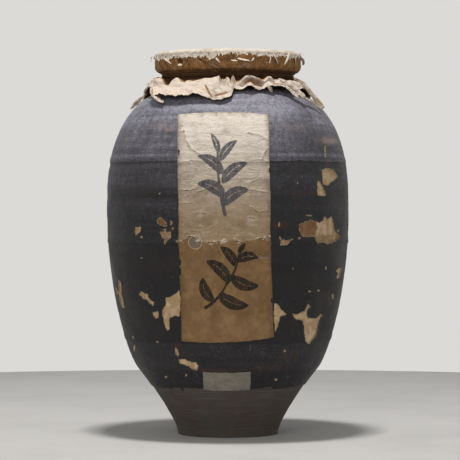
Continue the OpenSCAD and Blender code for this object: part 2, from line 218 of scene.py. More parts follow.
class Bench:
    """The hand operations that the pieces are made with."""

    @staticmethod
    def take(piece: Piece) -> None:
        """Makes a piece the only selected and the active one.

        Args:
            piece: the piece.
        """
        bpy.ops.object.select_all(action="DESELECT")
        piece.select_set(True)
        bpy.context.view_layer.objects.active = piece

    @staticmethod
    def flat_sheet(name: str, columns: int, rows: int) -> Piece:
        """Adds a flat sheet of unit size.

        Args:
            name: the sheet's name.
            columns: how many columns of faces it has.
            rows: how many rows.

        Returns:
            The sheet.
        """
        bpy.ops.object.select_all(action="DESELECT")
        bpy.ops.mesh.primitive_grid_add(x_subdivisions=columns, y_subdivisions=rows, size=1)
        piece = bpy.context.object
        piece.name = piece.data.name = name
        return piece

    @staticmethod
    def points(piece: Piece) -> np.ndarray:
        """The places of a piece's points.

        Args:
            piece: the piece.

        Returns:
            One row for each point, in millimetres.
        """
        flat = np.empty(len(piece.data.vertices) * 3)
        piece.data.vertices.foreach_get("co", flat)
        return flat.reshape(-1, 3) / MM

    @staticmethod
    def move_points(piece: Piece, places: np.ndarray) -> None:
        """Puts a piece's points at the given places, in millimetres."""
        piece.data.vertices.foreach_set("co", (np.asarray(places, float) * MM).ravel())
        piece.data.update()

    @classmethod
    def bend(cls, piece: Piece, rule: Rule) -> None:
        """Bends a flat sheet of unit size, by a rule that takes shares across and up it."""
        flat = cls.points(piece) * MM
        cls.move_points(piece, rule(flat[:, 0] + 0.5, flat[:, 1] + 0.5))

    @classmethod
    def merge(cls, piece: Piece, reach: float = 1e-6) -> None:
        """Joins points that lie together, and turns every face outwards.

        Args:
            piece: the piece.
            reach: how near two points lie to be joined, in metres.
        """
        cls.take(piece)
        bpy.ops.object.mode_set(mode="EDIT")
        bpy.ops.mesh.select_all(action="SELECT")
        bpy.ops.mesh.remove_doubles(threshold=reach)
        bpy.ops.mesh.normals_make_consistent(inside=False)
        bpy.ops.object.mode_set(mode="OBJECT")

    @classmethod
    def apply(cls, piece: Piece, kind: str, **settings: object) -> None:
        """Adds a modifier and applies it.

        Args:
            piece: the piece.
            kind: the modifier's type.
            settings: the modifier's own settings.
        """
        cls.take(piece)
        modifier = piece.modifiers.new(kind.title(), kind)
        for key, value in settings.items():
            setattr(modifier, key, value)
        bpy.ops.object.modifier_apply(modifier=modifier.name)

    @classmethod
    def thicken(cls, piece: Piece, thickness: float) -> None:
        """Gives a sheet its thickness in millimetres, half to each side."""
        cls.apply(piece, "SOLIDIFY", thickness=thickness * MM, offset=0, use_quality_normals=True)

    @classmethod
    def smooth(cls, piece: Piece, degrees: float = 40) -> None:
        """Shades a piece smooth, apart from edges that are sharper than the angle."""
        cls.take(piece)
        bpy.ops.object.shade_smooth_by_angle(angle=math.radians(degrees))

    @classmethod
    def sheet(
        cls, name: str, columns: int, rows: int, rule: Rule, thick: float, round_jar: bool = True
    ) -> Piece:
        """Makes a sheet of paper that is bent by a rule.

        Args:
            name: the sheet's name.
            columns: how many columns of faces it has.
            rows: how many rows.
            rule: the rule that bends it.
            thick: its thickness.
            round_jar: whether it goes all the way round and closes on itself.

        Returns:
            The sheet, its first half of points on one side and the rest on the other.
        """
        piece = cls.flat_sheet(name, columns, rows)
        cls.bend(piece, rule)
        if round_jar:
            cls.merge(piece, WELD)
        cls.thicken(piece, thick)
        return piece

    @classmethod
    def prism(cls, name: str, outline: np.ndarray, near: float, far: float) -> Piece:
        """Makes a prism with an outline seen from the front, between two depths.

        Args:
            name: the prism's name.
            outline: its corners as x and z, in order.
            near: the y of its front.
            far: the y of its back.

        Returns:
            The prism, with its faces outwards.
        """
        bpy.ops.object.select_all(action="DESELECT")
        bpy.ops.mesh.primitive_circle_add(vertices=len(outline), fill_type="NGON")
        piece = bpy.context.object
        piece.name = name
        cls.move_points(piece, stack(outline[:, 0], near, outline[:, 1]))
        bpy.ops.object.mode_set(mode="EDIT")
        bpy.ops.mesh.select_all(action="SELECT")
        bpy.ops.mesh.extrude_region_move(TRANSFORM_OT_translate={"value": (0, (far - near) * MM, 0)})
        bpy.ops.mesh.select_all(action="SELECT")
        bpy.ops.mesh.normals_make_consistent(inside=False)
        bpy.ops.object.mode_set(mode="OBJECT")
        return piece

    @classmethod
    def cut(cls, piece: Piece, outlines: Sequence[np.ndarray]) -> None:
        """Cuts outlines through the front half of a piece.

        Args:
            piece: the piece.
            outlines: the corners of each, seen from the front.
        """
        for outline in outlines:
            tool = cls.prism("cutter", outline, FRONT, 0)
            cls.apply(piece, "BOOLEAN", operation="DIFFERENCE", object=tool, solver="MANIFOLD")
            bpy.data.objects.remove(tool)

    @classmethod
    def join(cls, name: str, pieces: Sequence[Piece]) -> Piece:
        """Makes several pieces one.

        Args:
            name: the new piece's name.
            pieces: the pieces.

        Returns:
            The new piece.
        """
        cls.take(pieces[0])
        for piece in pieces:
            piece.select_set(True)
        bpy.ops.object.join()
        joined = bpy.context.object
        joined.name = joined.data.name = name
        return joined

    @classmethod
    def ribbon(cls, stations: Sequence[Sequence[float]], thick: float, arch: float = 0.25,
               crumple: float = 0.5, seed: int = 0) -> Piece:
        """Makes a narrow strip of paper.

        Args:
            stations: turn from the front in degrees, radius, height, half width and, where it
                isn't level, tilt in degrees, at places along the strip.
            thick: its thickness.
            arch: how far it is arched across, as a share of its half width.
            crumple: how far it is crumpled.
            seed: which strip it is.

        Returns:
            The strip, with its underside marked as inner.
        """
        knots = np.array([(*station, 0)[:5] for station in stations], float)
        knots = np.column_stack([turned(knots[:, 1], np.radians(knots[:, 0]), knots[:, 2]), knots[:, 3:5]])
        length = float(np.linalg.norm(np.diff(knots[:, :3], axis=0), axis=1).sum())

        def shape(u: np.ndarray, v: np.ndarray) -> np.ndarray:
            """Bends the sheet.

            Args:
                u: shares of the way across it.
                v: shares of the way up it.

            Returns:
                Places of its middle, one row each.
            """
            share = v * (len(knots) - 1)
            here = through(knots, share)
            way = unit(through(knots, share + 0.02)[:, :3] - through(knots, share - 0.02)[:, :3])
            side = unit(np.cross(way, np.column_stack([0.6 * unit(here[:, :2]), np.full(len(here), 0.8)])))
            face = np.cross(side, way)
            tilt = np.radians(here[:, 4])[:, None]
            side, face = side * np.cos(tilt) + face * np.sin(tilt), face * np.cos(tilt) - side * np.sin(tilt)
            across = 2 * u - 1
            wave = 1 + 0.14 * cloud(here[:, :3] / 3 + across[:, None], 400 + seed, 2)
            end = np.clip(1 - (1 - v) * length / 4.5, 0, 1)
            half = np.clip(here[:, 3], 0.3, None) * wave * np.sqrt(1 - 0.93 * end**2)
            rise = arch * half * (1 - across**2)
            rise += crumple * cloud((here[:, :3] + 6 * across[:, None]) / 6, 420 + seed, 2)
            return here[:, :3] + side * (half * across)[:, None] + face * rise[:, None]

        columns = 6
        piece = cls.sheet("strip", columns, max(8, round(length / 1.6)), shape, thick, False)
        places = cls.points(piece)
        count = len(places) // 2
        under = np.arange(len(places)) >= count
        if places[under, 2].mean() > places[~under, 2].mean():
            under = ~under
        # The underside, painted darker as shade by the cover's finish.
        cls.mark(piece, "inner", under.astype(float))
        across = np.tile(np.linspace(-1, 1, columns + 1), count // (columns + 1))
        line = 0.35 * cloud(places[:count] / 9, 440 + seed, 2)
        fold = bump(across, line, 0.36) * ramp(cloud(places[:count] / 9, 460 + seed, 2), -0.7, 0.1)
        # A fold line down each strip, darkened through its crease and brown marks as painted shade.
        cls.mark(piece, "crease_shade", 0.25 * np.tile(fold, 2))
        cls.mark(piece, "browned_and_shaded", 0.50 * np.tile(fold, 2))
        return piece

    @staticmethod
    def mark(piece: Piece, name: str, values: np.ndarray) -> None:
        """Stores one number for each point of a piece, for its finish to read."""
        layer = piece.data.attributes.get(name) or piece.data.attributes.new(name, "FLOAT", "POINT")
        layer.data.foreach_set("value", np.ascontiguousarray(values, np.float32))

    @staticmethod
    def strip(name: str, paths: Sequence[np.ndarray], sections: Sequence[np.ndarray]) -> Piece:
        """Sweeps small closed sections along paths, all in one piece.

        Args:
            name: the piece's name.
            paths: for each strip its points, one row each.
            sections: for each strip the offsets of its section at every point of its path,
                as points by corners by 3.

        Returns:
            The piece, with closed ends.
        """
        corners, faces = [], []
        start = 0
        for path, section in zip(paths, sections):
            rings, sides = section.shape[:2]
            corners.append((path[:, None, :] + section).reshape(-1, 3))
            for ring in range(rings - 1):
                for side in range(sides):
                    after = (side + 1) % sides
                    low, high = start + ring * sides, start + (ring + 1) * sides
                    faces.append((low + side, low + after, high + after, high + side))
            faces.append(tuple(start + side for side in reversed(range(sides))))
            faces.append(tuple(start + (rings - 1) * sides + side for side in range(sides)))
            start += rings * sides
        mesh = bpy.data.meshes.new(name)
        mesh.from_pydata((np.concatenate(corners) * MM).tolist(), [], faces)
        piece = bpy.data.objects.new(name, mesh)
        bpy.context.scene.collection.objects.link(piece)
        return piece


# ---- Finishes ----


def tone(red: float, green: float, blue: float) -> tuple[float, float, float, float]:
    """A colour as it looks, from 0 to 1, turned into the shader's own numbers."""
    return (*(c / 12.92 if c <= 0.04045 else ((c + 0.055) / 1.055) ** 2.4 for c in (red, green, blue)), 1.0)


class Recipe:
    """The nodes of one material, added one after another."""

    def __init__(self, name: str, colour: tuple) -> None:
        """Starts a material whose patterns lie still on the object.

        Args:
            name: the material's name.
            colour: its ground colour.
        """
        self.material = bpy.data.materials.new(name)
        self.material.use_nodes = True
        self.tree = self.material.node_tree
        self.shader = self.tree.nodes["Principled BSDF"]
        self.place = self.add("ShaderNodeTexCoord").outputs["Object"]
        self.normal = None
        self.colour = colour

    def feed(self, socket: Socket, value: object) -> None:
        """Feeds a node's input.

        Args:
            socket: the input.
            value: the output that it is linked to, or its number or colour.
        """
        if isinstance(value, Socket):
            self.tree.links.new(value, socket)
        else:
            socket.default_value = value

    def add(self, kind: str, sockets: dict | None = None, **settings: object) -> bpy.types.Node:
        """Adds a node.

        Args:
            kind: the node's type.
            sockets: what each input is fed with.
            settings: the node's own settings.

        Returns:
            The node.
        """
        node = self.tree.nodes.new(kind)
        for key, value in settings.items():
            setattr(node, key, value)
        for key, value in (sockets or {}).items():
            self.feed(node.inputs[key], value)
        return node

    def placed(self, size: float, stretch: Sequence[float], shift: float) -> Socket:
        """Places in units of a size.

        Args:
            size: the size, in millimetres.
            stretch: how much larger the unit is along each axis.
            shift: how far the places are moved.

        Returns:
            The places.
        """
        scale = tuple(1 / (MM * size * part) for part in stretch)
        sockets = {"Vector": self.place, "Scale": scale, "Location": (shift,) * 3}
        return self.add("ShaderNodeMapping", sockets).outputs[0]

    def noise(self, size: float, detail: float = 4, roughness: float = 0.55,
              stretch: Sequence[float] = (1, 1, 1), shift: float = 0.0) -> Socket:
        """Noise from 0 to 1.

        Args:
            size: about how large a lump is, in millimetres.
            detail: how many finer layers it has.
            roughness: how strong the finer layers are.
            stretch: how much longer a lump is along each axis.
            shift: moves the pattern, so that two of them differ.

        Returns:
            The noise.
        """
        place = self.placed(size, stretch, shift)
        sockets = {"Vector": place, "Scale": 1.0, "Detail": detail, "Roughness": roughness}
        return self.add("ShaderNodeTexNoise", sockets).outputs[0]

    def cracks(self, size: float, stretch: Sequence[float] = (1, 1, 1), shift: float = 0.0) -> Socket:
        """Distance to the edges of a net of cells, from 0 at an edge.

        Args:
            size: about how large a cell is, in millimetres.
            stretch: how much longer a cell is along each axis.
            shift: moves the pattern.

        Returns:
            The distance, as a share of a cell.
        """
        place = self.placed(size, stretch, shift)
        sway = self.add("ShaderNodeTexNoise", {"Vector": place, "Scale": 1.7}).outputs[1]
        bent = self.add("ShaderNodeVectorMath", {0: place, 1: sway}).outputs[0]
        sockets = {"Vector": bent, "Scale": 1.0}
        return self.add("ShaderNodeTexVoronoi", sockets, feature="DISTANCE_TO_EDGE").outputs[0]

    def spread(self, value: Socket, low: float, high: float,
               start: float = 0.0, end: float = 1.0) -> Socket:
        """Maps low to start and high to end, smoothly, and holds there outside them."""
        sockets = {"Value": value, "From Min": low, "From Max": high, "To Min": start, "To Max": end}
        return self.add("ShaderNodeMapRange", sockets, interpolation_type="SMOOTHSTEP").outputs[0]

    def math(self, operation: str, first: object, second: object = 0.0) -> Socket:
        """One sum of two numbers."""
        return self.add("ShaderNodeMath", {0: first, 1: second}, operation=operation).outputs[0]

    def times(self, first: object, *others: object) -> Socket:
        """Numbers multiplied together."""
        return reduce(lambda total, other: self.math("MULTIPLY", total, other), others, first)

    def plus(self, first: object, second: object) -> Socket:
        """Two numbers added."""
        return self.math("ADD", first, second)

    def less(self, first: object, second: object) -> Socket:
        """The second number taken from the first."""
        return self.math("SUBTRACT", first, second)

    def read(self, name: str) -> Socket:
        """A number stored on the piece's points."""
        return self.add("ShaderNodeAttribute", attribute_name=name).outputs["Fac"]

    def height(self) -> Socket:
        """The height above the ground, in metres."""
        return self.add("ShaderNodeSeparateXYZ", {0: self.place}).outputs["Z"]

    def upward(self) -> Socket:
        """How far the surface faces up, from -1 to 1."""
        normal = self.add("ShaderNodeNewGeometry").outputs["Normal"]
        return self.add("ShaderNodeSeparateXYZ", {0: normal}).outputs["Z"]

    def over(self, below: object, above: object, share: object) -> Socket:
        """Lays one colour over another by a share.

        Args:
            below: the colour that is there.
            above: the colour laid over it.
            share: how much of it shows.

        Returns:
            The new colour.
        """
        node = self.tree.nodes.new("ShaderNodeMix")
        node.data_type = "RGBA"
        self.feed(node.inputs[0], share)
        self.feed(node.inputs[6], below)
        self.feed(node.inputs[7], above)
        return node.outputs[2]

    def coat(self, colour: object, share: object, *span: float) -> None:
        """Lays a colour over the ones mixed so far.

        Args:
            colour: the new colour.
            share: how much of it shows.
            span: how the share is spread first, where it isn't a share yet.
        """
        if span:
            share = self.spread(share, *span)
        self.colour = self.over(self.colour, colour, share)

    def raise_by(self, height: Socket, depth: float, strength: float = 1.0) -> None:
        """Adds relief.

        Args:
            height: the relief, from 0 to 1.
            depth: its depth in millimetres.
            strength: how much of it shows.
        """
        sockets = {"Height": height, "Distance": depth * MM, "Strength": strength}
        if self.normal is not None:
            sockets["Normal"] = self.normal
        self.normal = self.add("ShaderNodeBump", sockets).outputs[0]

    def done(self, roughness: object, gloss: float) -> bpy.types.Material:
        """Feeds the shader and gives the material.

        Args:
            roughness: the roughness.
            gloss: how strong the gloss is, where 0.5 is plain.

        Returns:
            The material, in the colour mixed so far.
        """
        self.feed(self.shader.inputs["Base Color"], self.colour)
        self.feed(self.shader.inputs["Roughness"], roughness)
        self.shader.inputs["Specular IOR Level"].default_value = gloss
        if self.normal is not None:
            self.feed(self.shader.inputs["Normal"], self.normal)
        return self.material


@dataclass(frozen=True)
class DarkPaper:
    """Tannin-dark paper, scratched, with pale torn rims, grey on the shoulder with dust and painted sheen of
    light from above.
    """

    name: str = "dark_tannin_paper"
    ground: tuple = tone(0.078, 0.069, 0.066)
    warm: tuple = tone(0.128, 0.094, 0.074)
    cool: tuple = tone(0.080, 0.072, 0.084)
    rust: tuple = tone(0.38, 0.23, 0.18)
    rust_with_dust_and_sheen: tuple = tone(0.72, 0.60, 0.55)
    # Grey of dust and of painted sheen, laid on most where the paper faces up.
    dust_and_sheen_grey: tuple = tone(0.56, 0.55, 0.595)
    scratch: tuple = tone(0.56, 0.54, 0.56)
    core: tuple = tone(0.74, 0.64, 0.50)

    def make(self) -> bpy.types.Material:
        """Mixes the finish.

        Returns:
            The material.
        """
        mix = Recipe(self.name, self.ground)
        blotch = mix.noise(52, 5, 0.6)
        band = mix.noise(11, 4, 0.6, (26, 26, 0.8), 3.1)
        streak = mix.noise(7, 5, 0.65, (0.9, 0.9, 5), 6.4)
        fibre = mix.noise(1.6, 5, 0.7, (2.2, 2.2, 0.8), 7.7)
        grit = mix.noise(2.2, 4, 0.65, shift=1.3)
        uneven = mix.less(grit, 0.5)
        mix.coat(self.warm, mix.noise(34, 4, 0.6, (1.6, 1.6, 1), 5.5), 0.48, 0.72)
        mix.coat(self.cool, mix.noise(40, 3, 0.5, shift=2.9), 0.50, 0.66, 0.0, 0.8)
        # Grey dust with painted sheen: lighter where the surface faces up, as painted light from above, and
        # as much as each ring's mark gives.
        dust_and_sheen = mix.read("dust_and_sheen")
        mix.coat(self.dust_and_sheen_grey, mix.times(
            dust_and_sheen, mix.spread(mix.upward(), -0.15, 0.62, 0.22, 1.0),
            mix.spread(band, 0.32, 0.66, 0.72, 1.14), mix.spread(streak, 0.30, 0.68, 0.66, 1.20),
            mix.spread(mix.noise(4.5, 6, 0.76, (2.0, 2.0, 0.8), 8.4), 0.34, 0.66, 0.70, 1.22),
            mix.spread(blotch, 0.3, 0.7, 0.62, 1.18), mix.spread(fibre, 0.34, 0.66, 0.70, 1.18)))
        rust = mix.times(mix.read("rust"), mix.spread(grit, 0.36, 0.60, 0.25, 1.0))
        mix.coat(mix.over(self.rust, self.rust_with_dust_and_sheen, mix.spread(dust_and_sheen, 0.3, 0.65)), rust)
        lines = mix.spread(mix.cracks(7.5, (1.0, 1.0, 1.5), 2.2), 0.0, 0.035, 1.0, 0.0)
        lines = mix.times(lines, mix.spread(mix.noise(9, 3, 0.6, shift=9.1), 0.51, 0.60))
        specks = mix.spread(mix.noise(2.1, 3, 0.6, shift=4.0), 0.60, 0.70)
        pits = mix.spread(mix.noise(2.6, 3, 0.6, (1.3, 1.3, 0.8), 2.4), 0.60, 0.69, 0.0, 0.35)
        mix.coat(self.ground, mix.times(pits, mix.spread(dust_and_sheen, 0.3, 0.9)))
        mix.coat(self.scratch, mix.times(
            mix.math("MAXIMUM", lines, specks), mix.spread(dust_and_sheen, 0.02, 0.6, 0.14, 0.85),
            mix.spread(mix.noise(48, 2, 0.5, shift=5.2), 0.40, 0.60, 0.25, 1.0)))
        wear = mix.plus(mix.read("wear"), mix.times(uneven, 1.3))
        mix.coat(self.scratch, wear, 0.62, 1.05, 0.0, 0.6)
        rim = mix.plus(mix.read("torn"), mix.times(uneven, 2.6))
        mix.coat(self.core, rim, 0.7, 0.1, 0.0, 0.9)
        mix.raise_by(mix.noise(7, 5, 0.62, (1.8, 1.8, 0.8), 6.0), 1.0, 0.6)
        mix.raise_by(mix.spread(mix.cracks(15, (1.5, 1.5, 0.8), 8.0), 0.0, 0.10), 0.4, 0.4)
        mix.raise_by(band, 0.4, 0.4)
        mix.raise_by(fibre, 0.25, 0.7)
        return mix.done(mix.spread(blotch, 0.3, 0.7, 0.52, 0.68), gloss=0.34)


@dataclass(frozen=True)
class LiningPaper:
    """Pale lining paper, seen where the dark paper has torn away."""

    name: str = "pale_lining_paper"
    ground: tuple = tone(0.75, 0.625, 0.465)
    pale: tuple = tone(0.85, 0.765, 0.63)
    stain: tuple = tone(0.47, 0.30, 0.185)

    def make(self) -> bpy.types.Material:
        """Mixes the finish.

        Returns:
            The material.
        """
        mix = Recipe(self.name, self.ground)
        mix.coat(self.pale, mix.noise(14, 5, 0.6), 0.42, 0.66)
        stain = mix.plus(mix.read("stain"), mix.less(mix.noise(9, 5, 0.65, shift=2.0), 0.5))
        mix.coat(self.stain, stain, 0.15, 0.95, 0.0, 0.85)
        fibre = mix.noise(1.2, 6, 0.7, (2.5, 2.5, 0.7), 4.4)
        mix.coat(self.stain, fibre, 0.58, 0.80, 0.0, 0.45)
        mix.raise_by(mix.noise(4, 5, 0.65, shift=3.0), 0.7, 0.7)
        mix.raise_by(fibre, 0.2, 0.6)
        return mix.done(0.88, gloss=0.3)


@dataclass(frozen=True)
class LabelPaper:
    """Aged, creased label paper with brushed ink, paler towards the top as painted light and darker below its
    torn line, mostly as painted shade.
    """

    name: str = "aged_label_paper"
    # top is painted light from above; lower is partly the paper's own browner tone and mostly painted shade.
    top: tuple = tone(0.90, 0.855, 0.80)
    middle: tuple = tone(0.700, 0.595, 0.470)
    lower: tuple = tone(0.540, 0.415, 0.275)
    light: tuple = tone(0.690, 0.560, 0.390)
    stain: tuple = tone(0.40, 0.285, 0.175)
    white: tuple = tone(0.90, 0.85, 0.76)
    grey: tuple = tone(0.50, 0.48, 0.45)
    ink_faded: tuple = tone(0.30, 0.30, 0.32)
    ink_dark: tuple = tone(0.085, 0.085, 0.09)

    def make(self) -> bpy.types.Material:
        """Mixes the finish.

        Returns:
            The material.
        """
        mix = Recipe(self.name, self.middle)
        dry = mix.less(mix.noise(2.4, 5, 0.7, (1.6, 1, 0.8), 3.3), 0.5)
        upper = mix.spread(mix.plus(mix.read("upper"), mix.times(dry, 7.0)), -0.8, 0.8)
        # Paler towards the top, as painted light from above; below the torn line the lower colour, partly the
        # paper's own tone and mostly painted shade where the belly turns down.
        mix.coat(self.top, mix.height(), 0.36, 0.54)
        mix.colour = mix.over(self.lower, mix.colour, upper)
        mix.coat(self.stain, mix.noise(40, 6, 0.66), 0.46, 0.74, 0.0, 0.42)
        pale = mix.spread(mix.noise(13, 6, 0.70, (1.8, 1, 0.8), 2.7), 0.50, 0.72, 0.0, 0.60)
        mix.coat(self.white, mix.times(pale, upper))
        below = mix.less(1.0, upper)
        grain = mix.spread(mix.noise(21, 6, 0.68, (1.0, 1, 1.2), 3.6), 0.40, 0.68, 0.0, 0.55)
        mix.coat(self.light, mix.times(grain, below))
        upright = mix.noise(1.5, 5, 0.7, (0.8, 1, 6), 5.2)
        level = mix.noise(1.4, 5, 0.7, (5, 1, 0.8), 1.9)
        mix.coat(self.stain, upright, 0.50, 0.74, 0.0, 0.36)
        mix.coat(self.stain, level, 0.52, 0.76, 0.0, 0.36)
        worn = mix.times(mix.less(mix.noise(17, 5, 0.65, shift=5.8), 0.5), 34.0)
        worn = mix.plus(mix.read("rim"), worn)
        mix.coat(self.stain, worn, 11.0, -4.0, 0.0, 0.50)
        # Painted shade along a net of fine, level wrinkles.
        cells = mix.cracks(24, (2.2, 1, 0.7), 1.0)
        crease_shade = mix.spread(cells, 0.0, 0.018, 1.0, 0.0)
        crease_shade = mix.times(crease_shade, mix.spread(mix.noise(16, 2, 0.5, shift=6.2), 0.50, 0.64))
        mix.coat(self.stain, mix.times(crease_shade, 0.5))
        fold = mix.plus(mix.read("fold"), mix.times(dry, 2.4))
        broken = mix.spread(mix.noise(8, 3, 0.6, (2.2, 1, 1), 6.6), 0.40, 0.60, 0.15, 1.0)
        mix.coat(self.white, mix.times(mix.spread(fold, 3.0, 1.2, 0.0, 0.22), broken))
        mix.coat(self.stain, mix.times(mix.spread(fold, 0.95, 0.1, 0.0, 0.8), broken))
        brushed = mix.less(mix.times(mix.read("ink"), -1.0), mix.times(dry, 3.6))
        ink = mix.over(self.ink_dark, self.ink_faded, upper)
        thin = mix.spread(mix.noise(3.2, 4, 0.6, (0.7, 1, 5), 8.8), 0.36, 0.66, 0.98, 0.76)
        mix.coat(ink, mix.times(mix.spread(brushed, -0.2, 0.5), thin))
        patch = mix.read("patch")
        mix.coat(self.grey, patch, 0.3, -0.8, 0.0, 0.62)
        edge = mix.spread(mix.math("ABSOLUTE", mix.less(patch, 0.9)), 1.1, 0.2, 0.0, 0.7)
        crumbs = mix.times(
            mix.read("lip"), mix.spread(mix.noise(2.8, 4, 0.65, (1.5, 1, 0.8), 2.1), 0.45, 0.62, 0.10, 1.25),
            mix.spread(mix.noise(19, 2, 0.5, shift=7.3), 0.40, 0.56, 0.45, 1.1))
        lip = mix.plus(mix.math("MAXIMUM", crumbs, edge), mix.times(dry, 0.9))
        mix.coat(self.white, lip, 0.42, 0.80, 0.0, 0.9)
        grime = mix.plus(mix.read("rim"), mix.times(dry, 5.0))
        mix.coat(self.stain, grime, 1.8, -0.4, 0.0, 0.45)
        mix.raise_by(mix.noise(9, 5, 0.62, (1.8, 1, 0.8), 4.0), 1.5, 0.8)
        mix.raise_by(mix.spread(cells, 0.0, 0.10), 0.5, 0.5)
        mix.raise_by(level, 0.25, 0.6)
        mix.raise_by(upright, 0.2, 0.5)
        return mix.done(0.80, gloss=0.32)


@dataclass(frozen=True)
class FootLabelPaper:
    """Grey, fibrous paper of the small label at the foot."""

    name: str = "grey_foot_label_paper"
    ground: tuple = tone(0.525, 0.50, 0.455)
    pale: tuple = tone(0.625, 0.595, 0.54)
    stain: tuple = tone(0.34, 0.32, 0.29)

    def make(self) -> bpy.types.Material:
        """Mixes the finish.

        Returns:
            The material.
        """
        mix = Recipe(self.name, self.ground)
        mix.coat(self.pale, mix.noise(12, 5, 0.65, (2, 1, 0.7)), 0.40, 0.70, 0.0, 0.8)
        mix.coat(self.stain, mix.noise(26, 5, 0.6, shift=2.5), 0.50, 0.80, 0.0, 0.7)
        fibre = mix.noise(1.3, 6, 0.72, (2.8, 1, 0.7), 5.0)
        mix.coat(self.stain, fibre, 0.54, 0.76, 0.0, 0.5)
        mix.raise_by(mix.noise(6, 5, 0.62, (1.8, 1, 0.8), 4.0), 0.9, 0.7)
        mix.raise_by(fibre, 0.2, 0.6)
        return mix.done(0.86, gloss=0.3)


@dataclass(frozen=True)
class CoverPaper:
    """Thick crumpled paper, cream where it flares, tan on the cap's side and brown in the throat, the brown
    partly stain and partly the cap's painted shadow, with painted shade in creases and on the underside.
    """

    name: str = "crumpled_cover_paper"
    cream: tuple = tone(0.825, 0.765, 0.700)
    shade: tuple = tone(0.68, 0.575, 0.46)
    tan: tuple = tone(0.600, 0.425, 0.245)
    brown: tuple = tone(0.300, 0.182, 0.108)
    olive: tuple = tone(0.355, 0.270, 0.160)
    light: tuple = tone(0.760, 0.600, 0.400)
    inside: tuple = tone(0.55, 0.385, 0.235)
    rust: tuple = tone(0.52, 0.33, 0.16)

    def make(self) -> bpy.types.Material:
        """Mixes the finish.

        Returns:
            The material.
        """
        mix = Recipe(self.name, self.cream)
        lumps = mix.less(mix.noise(15, 5, 0.6), 0.5)
        mix.coat(self.shade, mix.noise(13, 5, 0.66, shift=6.5), 0.48, 0.70, 0.0, 0.65)
        # Brown stain in the throat with the cap's painted shadow over it, painted shade under the cap's lower
        # round and in a dent, and painted shade along the strips' folds.
        marked = mix.read("browned_and_shaded")
        browned_and_shaded = mix.plus(marked, mix.times(lumps, 0.45))
        mix.coat(self.tan, browned_and_shaded, 0.22, 0.50)
        patches = mix.spread(mix.noise(10, 5, 0.7, (1, 1, 1.3), 8.3), 0.47, 0.66, 0.0, 0.70)
        mix.coat(self.olive, mix.times(patches, mix.spread(marked, 0.35, 0.5)))
        lit = mix.spread(mix.noise(7, 4, 0.6, (0.8, 0.8, 1.6), 4.6), 0.50, 0.68, 0.0, 0.7)
        mix.coat(self.light, mix.times(lit, mix.spread(marked, 0.2, 0.4)))
        mix.coat(self.brown, browned_and_shaded, 0.68, 0.98)
        # Painted shade in the pressed folds, the pleat valleys and the sharp creases.
        mix.coat(self.brown, mix.times(mix.read("crease_shade"), 0.85))
        # The underside turned a darker brown, as painted shade on the side that faces away from the light.
        mix.coat(self.inside, mix.read("inner"), 0.4, 0.6, 0.0, 0.9)
        # Rust brown: stains, with painted shade in the trough above the hem, along the fold down the skirt
        # and in a recess.
        stain = mix.plus(mix.read("stain"), mix.times(lumps, 0.9))
        mix.coat(self.rust, stain, 0.40, 1.0, 0.0, 0.9)
        # Painted shade along a net of crumple creases.
        cells = mix.cracks(24, shift=2.0)
        crease_shade = mix.times(mix.spread(cells, 0.0, 0.022, 1.0, 0.0),
                           mix.spread(mix.noise(14, 3, 0.6, shift=5.0), 0.50, 0.64))
        mix.coat(self.brown, mix.times(crease_shade, 0.42))
        fibre = mix.noise(1.4, 6, 0.7, (1, 1, 2.4), 3.7)
        mix.coat(self.tan, fibre, 0.56, 0.80, 0.0, 0.25)
        mix.raise_by(mix.noise(13, 4, 0.55, shift=1.0), 2.4, 0.8)
        mix.raise_by(mix.noise(4.5, 5, 0.6, shift=7.0), 0.7, 0.6)
        mix.raise_by(mix.spread(cells, 0.0, 0.09), 0.9, 0.5)
        mix.raise_by(fibre, 0.2, 0.6)
        return mix.done(0.82, gloss=0.3)


@dataclass(frozen=True)
class TopSheetPaper:
    """Worn, fibrous, cream-grey paper on top of the cover, painted lighter where it faces sideways as light
    on its rim.
    """

    name: str = "worn_fibrous_paper"
    pale: tuple = tone(0.835, 0.780, 0.715)
    painted_side_light: tuple = tone(0.915, 0.865, 0.805)
    dull: tuple = tone(0.71, 0.630, 0.535)
    stain: tuple = tone(0.47, 0.34, 0.205)

    def make(self) -> bpy.types.Material:
        """Mixes the finish.

        Returns:
            The material.
        """
        mix = Recipe(self.name, self.pale)
        mix.coat(self.dull, mix.noise(26, 6, 0.62), 0.42, 0.66)
        side = mix.spread(mix.upward(), 0.9, 0.4, 0.25, 1.0)
        # Painted light: lighter where the sheet faces sideways, as its lit rim.
        mix.coat(self.painted_side_light, mix.upward(), 0.9, 0.3, 0.0, 0.75)
        patches = mix.spread(mix.noise(9, 5, 0.66, (1, 1, 0.9), 4.0), 0.50, 0.66, 0.0, 0.85)
        streaks = mix.spread(mix.noise(1.9, 4, 0.6, (1, 1, 4.5), 6.1), 0.48, 0.62, 0.0, 0.9)
        mix.coat(self.stain, mix.times(patches, side, streaks))
        fibre = mix.noise(1.5, 6, 0.75, (1, 1, 3), 3.0)
        mix.coat(self.dull, fibre, 0.52, 0.74, 0.0, 0.5)
        mix.raise_by(mix.noise(6, 6, 0.7, shift=1.0), 1.8, 0.8)
        mix.raise_by(fibre, 0.4, 0.8)
        return mix.done(0.9, gloss=0.25)


